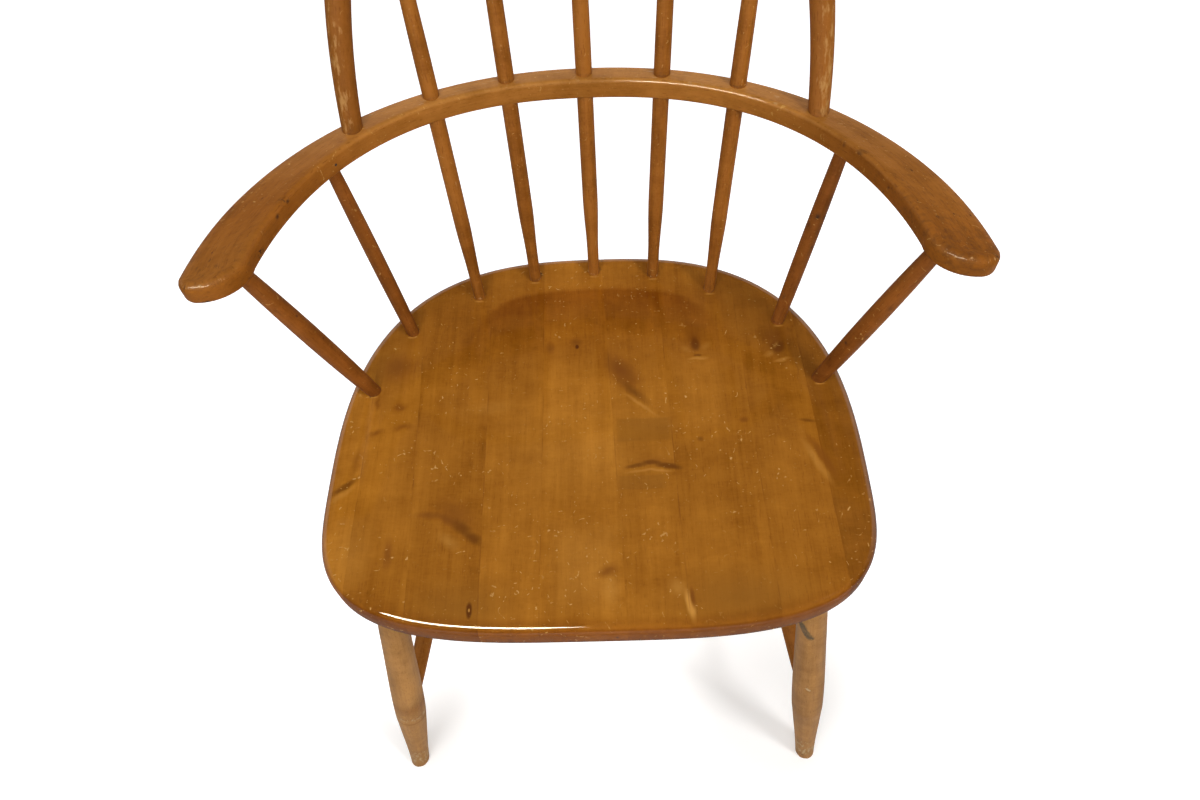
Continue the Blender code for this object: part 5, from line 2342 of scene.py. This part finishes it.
@dataclass
class BackHoop(SubAssembly):
    """The bent round rod that stands on the bow and carries the spindles' tops.

    Attributes:
        crowding: Power that crowds the rings towards the feet.
        grime_and_shade: Painted contact shade at the feet, where the hoop enters the bow, and grime above.
        rubs: Rubbing everywhere, and what the worn side of the feet adds.
    """

    plan: Plan
    radius: float = 0.0110
    foot_radius: float = 0.0094
    taper_height: float = 0.100
    steps: int = 90
    segments: int = 32
    crowding: float = 1.3
    grain_shift: Pair = (4.3, 2.9)
    grime_and_shade: Pair = (0.3, 0.1)
    grime_range: Range = (0.006, 0.001)
    rubs: Pair = (0.08, 0.24)
    rub_range: Range = (0.16, 0.05)
    worn_side: Range = (-0.6, 1.2)

    def build(self) -> list[Object]:
        """Sweeps and marks the hoop.

        Returns:
            The finished piece.
        """
        path = self.path()
        lean = self.plan.hoop_lean
        face = Vector((1.0, 0.0, 0.0)).cross(Vector((0.0, math.sin(lean), math.cos(lean))))
        around = [math.tau * k / self.segments for k in range(self.segments)]
        shell = Shell()
        ring: Ring = []
        travelled = 0.0
        for i, point in enumerate(path):
            side = face.cross(path[min(i + 1, len(path) - 1)] - path[max(i - 1, 0)]).normalized()
            rise = point.z - self.plan.bow_top
            share = min(max(rise / self.taper_height, 0.0), 1.0)
            radius = self.foot_radius + (self.radius - self.foot_radius) * share
            offsets = [(math.cos(a) * radius, math.sin(a) * radius) for a in around]
            places = [point + side * u + face * v for u, v in offsets]
            ring = shell.extrude(ring, places) if ring else shell.ring(places)
            if i in (0, len(path) - 1):
                shell.cap(ring)
            travelled += (point - path[i - 1]).length if i else 0.0
            for vert, (u, v) in zip(ring, offsets):
                vert[shell.grain] = (u + self.grain_shift[0], v + self.grain_shift[1], travelled)
                # Painted contact shade where the hoop enters the bow.
                foot_contact_shade, above = self.grime_and_shade
                vert[shell.grime] = max(foot_contact_shade * smooth_step(*self.grime_range, rise), above)
                everywhere, worn = self.rubs
                worn *= smooth_step(*self.rub_range, rise) * smooth_step(*self.worn_side, (u + v) / radius)
                vert[shell.rub] = everywhere + worn
        return [attach(shell.finish("back_hoop_bent", HOOP_FINISH.material()), Slot.BOW, "back_hoop")]

    def path(self) -> list[Vector]:
        """The hoop's centre line.

        Returns:
            Points from the left foot over the crown to the right foot, with the hidden ends.
        """
        plan = self.plan
        lean = Vector((0.0, math.sin(plan.hoop_lean), math.cos(plan.hoop_lean)))
        shares = [1 - (1 - i / self.steps) ** self.crowding for i in range(self.steps + 1)]
        half = [plan.hoop(QUARTER_TURN * share) for share in shares]
        half.append(half[-1] - lean * HIDDEN_END)
        return [Vector((-p.x, p.y, p.z)) for p in reversed(half[1:])] + half


# Stage


@dataclass(frozen=True)
class Softbox:
    """A soft studio lamp aimed at the chair.

    Attributes:
        mirrored: Whether the varnish mirrors it.
        scattered: Whether it lights the dull surfaces.
    """

    name: str
    place: Triple
    size: Pair
    power: float
    target: Triple = (0.0, -0.05, 0.45)
    mirrored: bool = True
    scattered: bool = True
    tint: Colour = WHITE

    def build(self) -> None:
        """Adds the lamp."""
        lamp = bpy.data.lights.new(self.name, "AREA")
        lamp.shape = "RECTANGLE"
        lamp.size, lamp.size_y = self.size
        lamp.energy = self.power
        lamp.color = self.tint
        holder = put(self.name, lamp)
        place = Vector(self.place)
        turn = (Vector(self.target) - place).to_track_quat("-Z", "Y").to_matrix().to_4x4()
        holder.matrix_world = Matrix.Translation(place) @ turn
        holder.visible_glossy = self.mirrored
        holder.visible_diffuse = self.scattered


@dataclass
class Studio:
    """White floor and surroundings, soft lamps and the photograph's camera.

    Attributes:
        focal: Focal length in pixels of the 1200 pixel wide image.
        pitch: Downward tilt in degrees.
        yaw: Turn to the left in degrees.
        roll: Turn about the line of sight in degrees.
        shadows: X, Y and radius of the places where the floor keeps its shadow.
        white_from: Distance from them at which the floor turns white and is white, and its glow there.
        backdrop: Strength of the backdrop as the chair sees it.
        elsewhere: Strength of the room as the chair sees it.
        lamps: The lamps. The left strip stands a little before the left lamp, so mirrored rays meet it first.
    """

    focal: float = 879.6
    eye: Triple = (0.0246, -0.5180, 1.1693)
    pitch: float = 56.33
    yaw: float = 2.366
    roll: float = 3.724
    sensor: float = 36.0
    clip_start: float = 0.02
    floor_size: float = 14.0
    floor_cells: int = 8
    floor_colour: Colour = (0.86, 0.86, 0.86)
    floor_roughness: float = 0.9
    shadows: tuple[Triple, ...] = (
        (0.215, -0.235, 0.03),
        (-0.225, -0.255, -0.03),
        (0.0, 0.200, 0.10),
    )
    white_from: tuple[float, float, float, float] = (0.02, 0.20, 0.25, 0.75)
    shadow_tint: Colour = (1.0, 0.95, 0.89)
    backdrop: float = 0.90
    backdrop_height: Range = (0.56, 0.68)
    backdrop_behind: Range = (-0.2, 0.4)
    elsewhere: float = 0.06
    lamps: tuple[Softbox, ...] = (
        Softbox("lamp_left", (-0.85, -1.45, 2.45), (1.2, 1.2), 23.0, mirrored=False),
        Softbox("lamp_right", (1.40, -1.00, 2.30), (0.5, 0.5), 24.0, mirrored=False),
        Softbox("strip_right", (1.40, -1.00, 2.30), (0.35, 0.35), 7.0, scattered=False),
        Softbox(
            "strip_left", (-0.833, -1.422, 2.41), (1.4, 0.6), 160.0, scattered=False, tint=(1.0, 0.94, 0.70)
        ),
        Softbox("lamp_above", (0.0, -0.40, 2.90), (1.6, 1.6), 10.0, mirrored=False),
        Softbox("lamp_front", (0.0, -2.60, 1.30), (1.6, 1.6), 24.0, mirrored=False),
    )

    def build(self) -> None:
        """Sets up floor, world, lamps and camera."""
        bpy.context.scene.view_settings.view_transform = "Standard"
        self.floor()
        self.world()
        for lamp in self.lamps:
            lamp.build()
        self.camera()

    def floor(self) -> None:
        """A wide, plain white floor that takes the chair's shadow."""
        bm = bmesh.new()
        cells = self.floor_cells
        bmesh.ops.create_grid(bm, x_segments=cells, y_segments=cells, size=self.floor_size / 2)
        material, graph, shader = new_material("white_floor")
        graph.feed(shader.inputs["Base Color"], self.floor_colour)
        shader.inputs["Roughness"].default_value = self.floor_roughness
        shader.inputs["Specular IOR Level"].default_value = 0.0
        place = graph.node("TexCoord").outputs["Object"]
        reach: Value = self.floor_size
        for x, y, radius in self.shadows:
            away = graph.node("VectorMath", operation="LENGTH")
            graph.feed(away.inputs[0], graph.vector("ADD", place, (-x, -y, 0.0)))
            reach = graph.math("MINIMUM", reach, graph.math("SUBTRACT", away.outputs["Value"], radius))
        glow = graph.ramp(reach, *self.white_from)
        seen = graph.node("LightPath").outputs["Is Camera Ray"]
        graph.feed(shader.inputs["Emission Strength"], graph.math("MULTIPLY", glow, seen))
        # The glow near the feet is tinted warm: painted warm bounce light in the chair's shadow.
        lit = graph.ramp(reach, *self.white_from[:2])
        graph.feed(shader.inputs["Emission Color"], graph.mix(lit, self.shadow_tint, WHITE))
        floor = put("studio_floor", mesh_from(bm, "studio_floor", material))

    def world(self) -> None:
        """White to the camera; to the chair, a bright low backdrop behind it in a dim room."""
        world = bpy.data.worlds.new("studio")
        world.use_nodes = True
        bpy.context.scene.world = world
        graph = NodeGraph(world.node_tree)
        background = world.node_tree.nodes["Background"]
        _, depth, height = graph.split(graph.node("TexCoord").outputs["Generated"])
        low = graph.ramp(height, *self.backdrop_height, 1.0, 0.0)
        behind = graph.ramp(depth, *self.backdrop_behind, 0.0, self.backdrop - self.elsewhere)
        light = graph.math("ADD", graph.math("MULTIPLY", low, behind), self.elsewhere)
        seen = graph.node("LightPath").outputs["Is Camera Ray"]
        strength = graph.math("ADD", graph.math("MULTIPLY", graph.math("SUBTRACT", 1.0, seen), light), seen)
        graph.feed(background.inputs["Color"], WHITE)
        graph.feed(background.inputs["Strength"], strength)

    def camera(self) -> None:
        """The photograph's viewpoint."""
        camera = bpy.data.cameras.new("photo_camera")
        camera.sensor_width = self.sensor
        camera.sensor_fit = "HORIZONTAL"
        camera.lens = self.sensor * self.focal / PHOTO_WIDTH
        camera.clip_start = self.clip_start
        holder = put("photo_camera", camera)
        tilt = Matrix.Rotation(QUARTER_TURN - math.radians(self.pitch), 4, "X")
        turn = Matrix.Rotation(math.radians(self.yaw), 4, "Z")
        lean = Matrix.Rotation(math.radians(-self.roll), 4, "Z")
        holder.matrix_world = Matrix.Translation(self.eye) @ turn @ tilt @ lean
        bpy.context.scene.camera = holder


def main() -> None:
    """Builds the chair's sub-assemblies in order, then the studio."""
    logging.basicConfig(level=logging.INFO, format="%(message)s")
    plan = Plan.from_frame()
    assemblies = (
        Seat(plan),
        UnderFrame(plan),
        ArmSpindles(plan),
        ArmBow(plan),
        BackHoop(plan),
        BackSpindles(plan),
    )
    for assembly in assemblies:
        pieces = assembly.build()
        LOG.info("%s done: %d pieces", type(assembly).__name__, len(pieces))
    Studio().build()


if __name__ == "__main__":
    main()
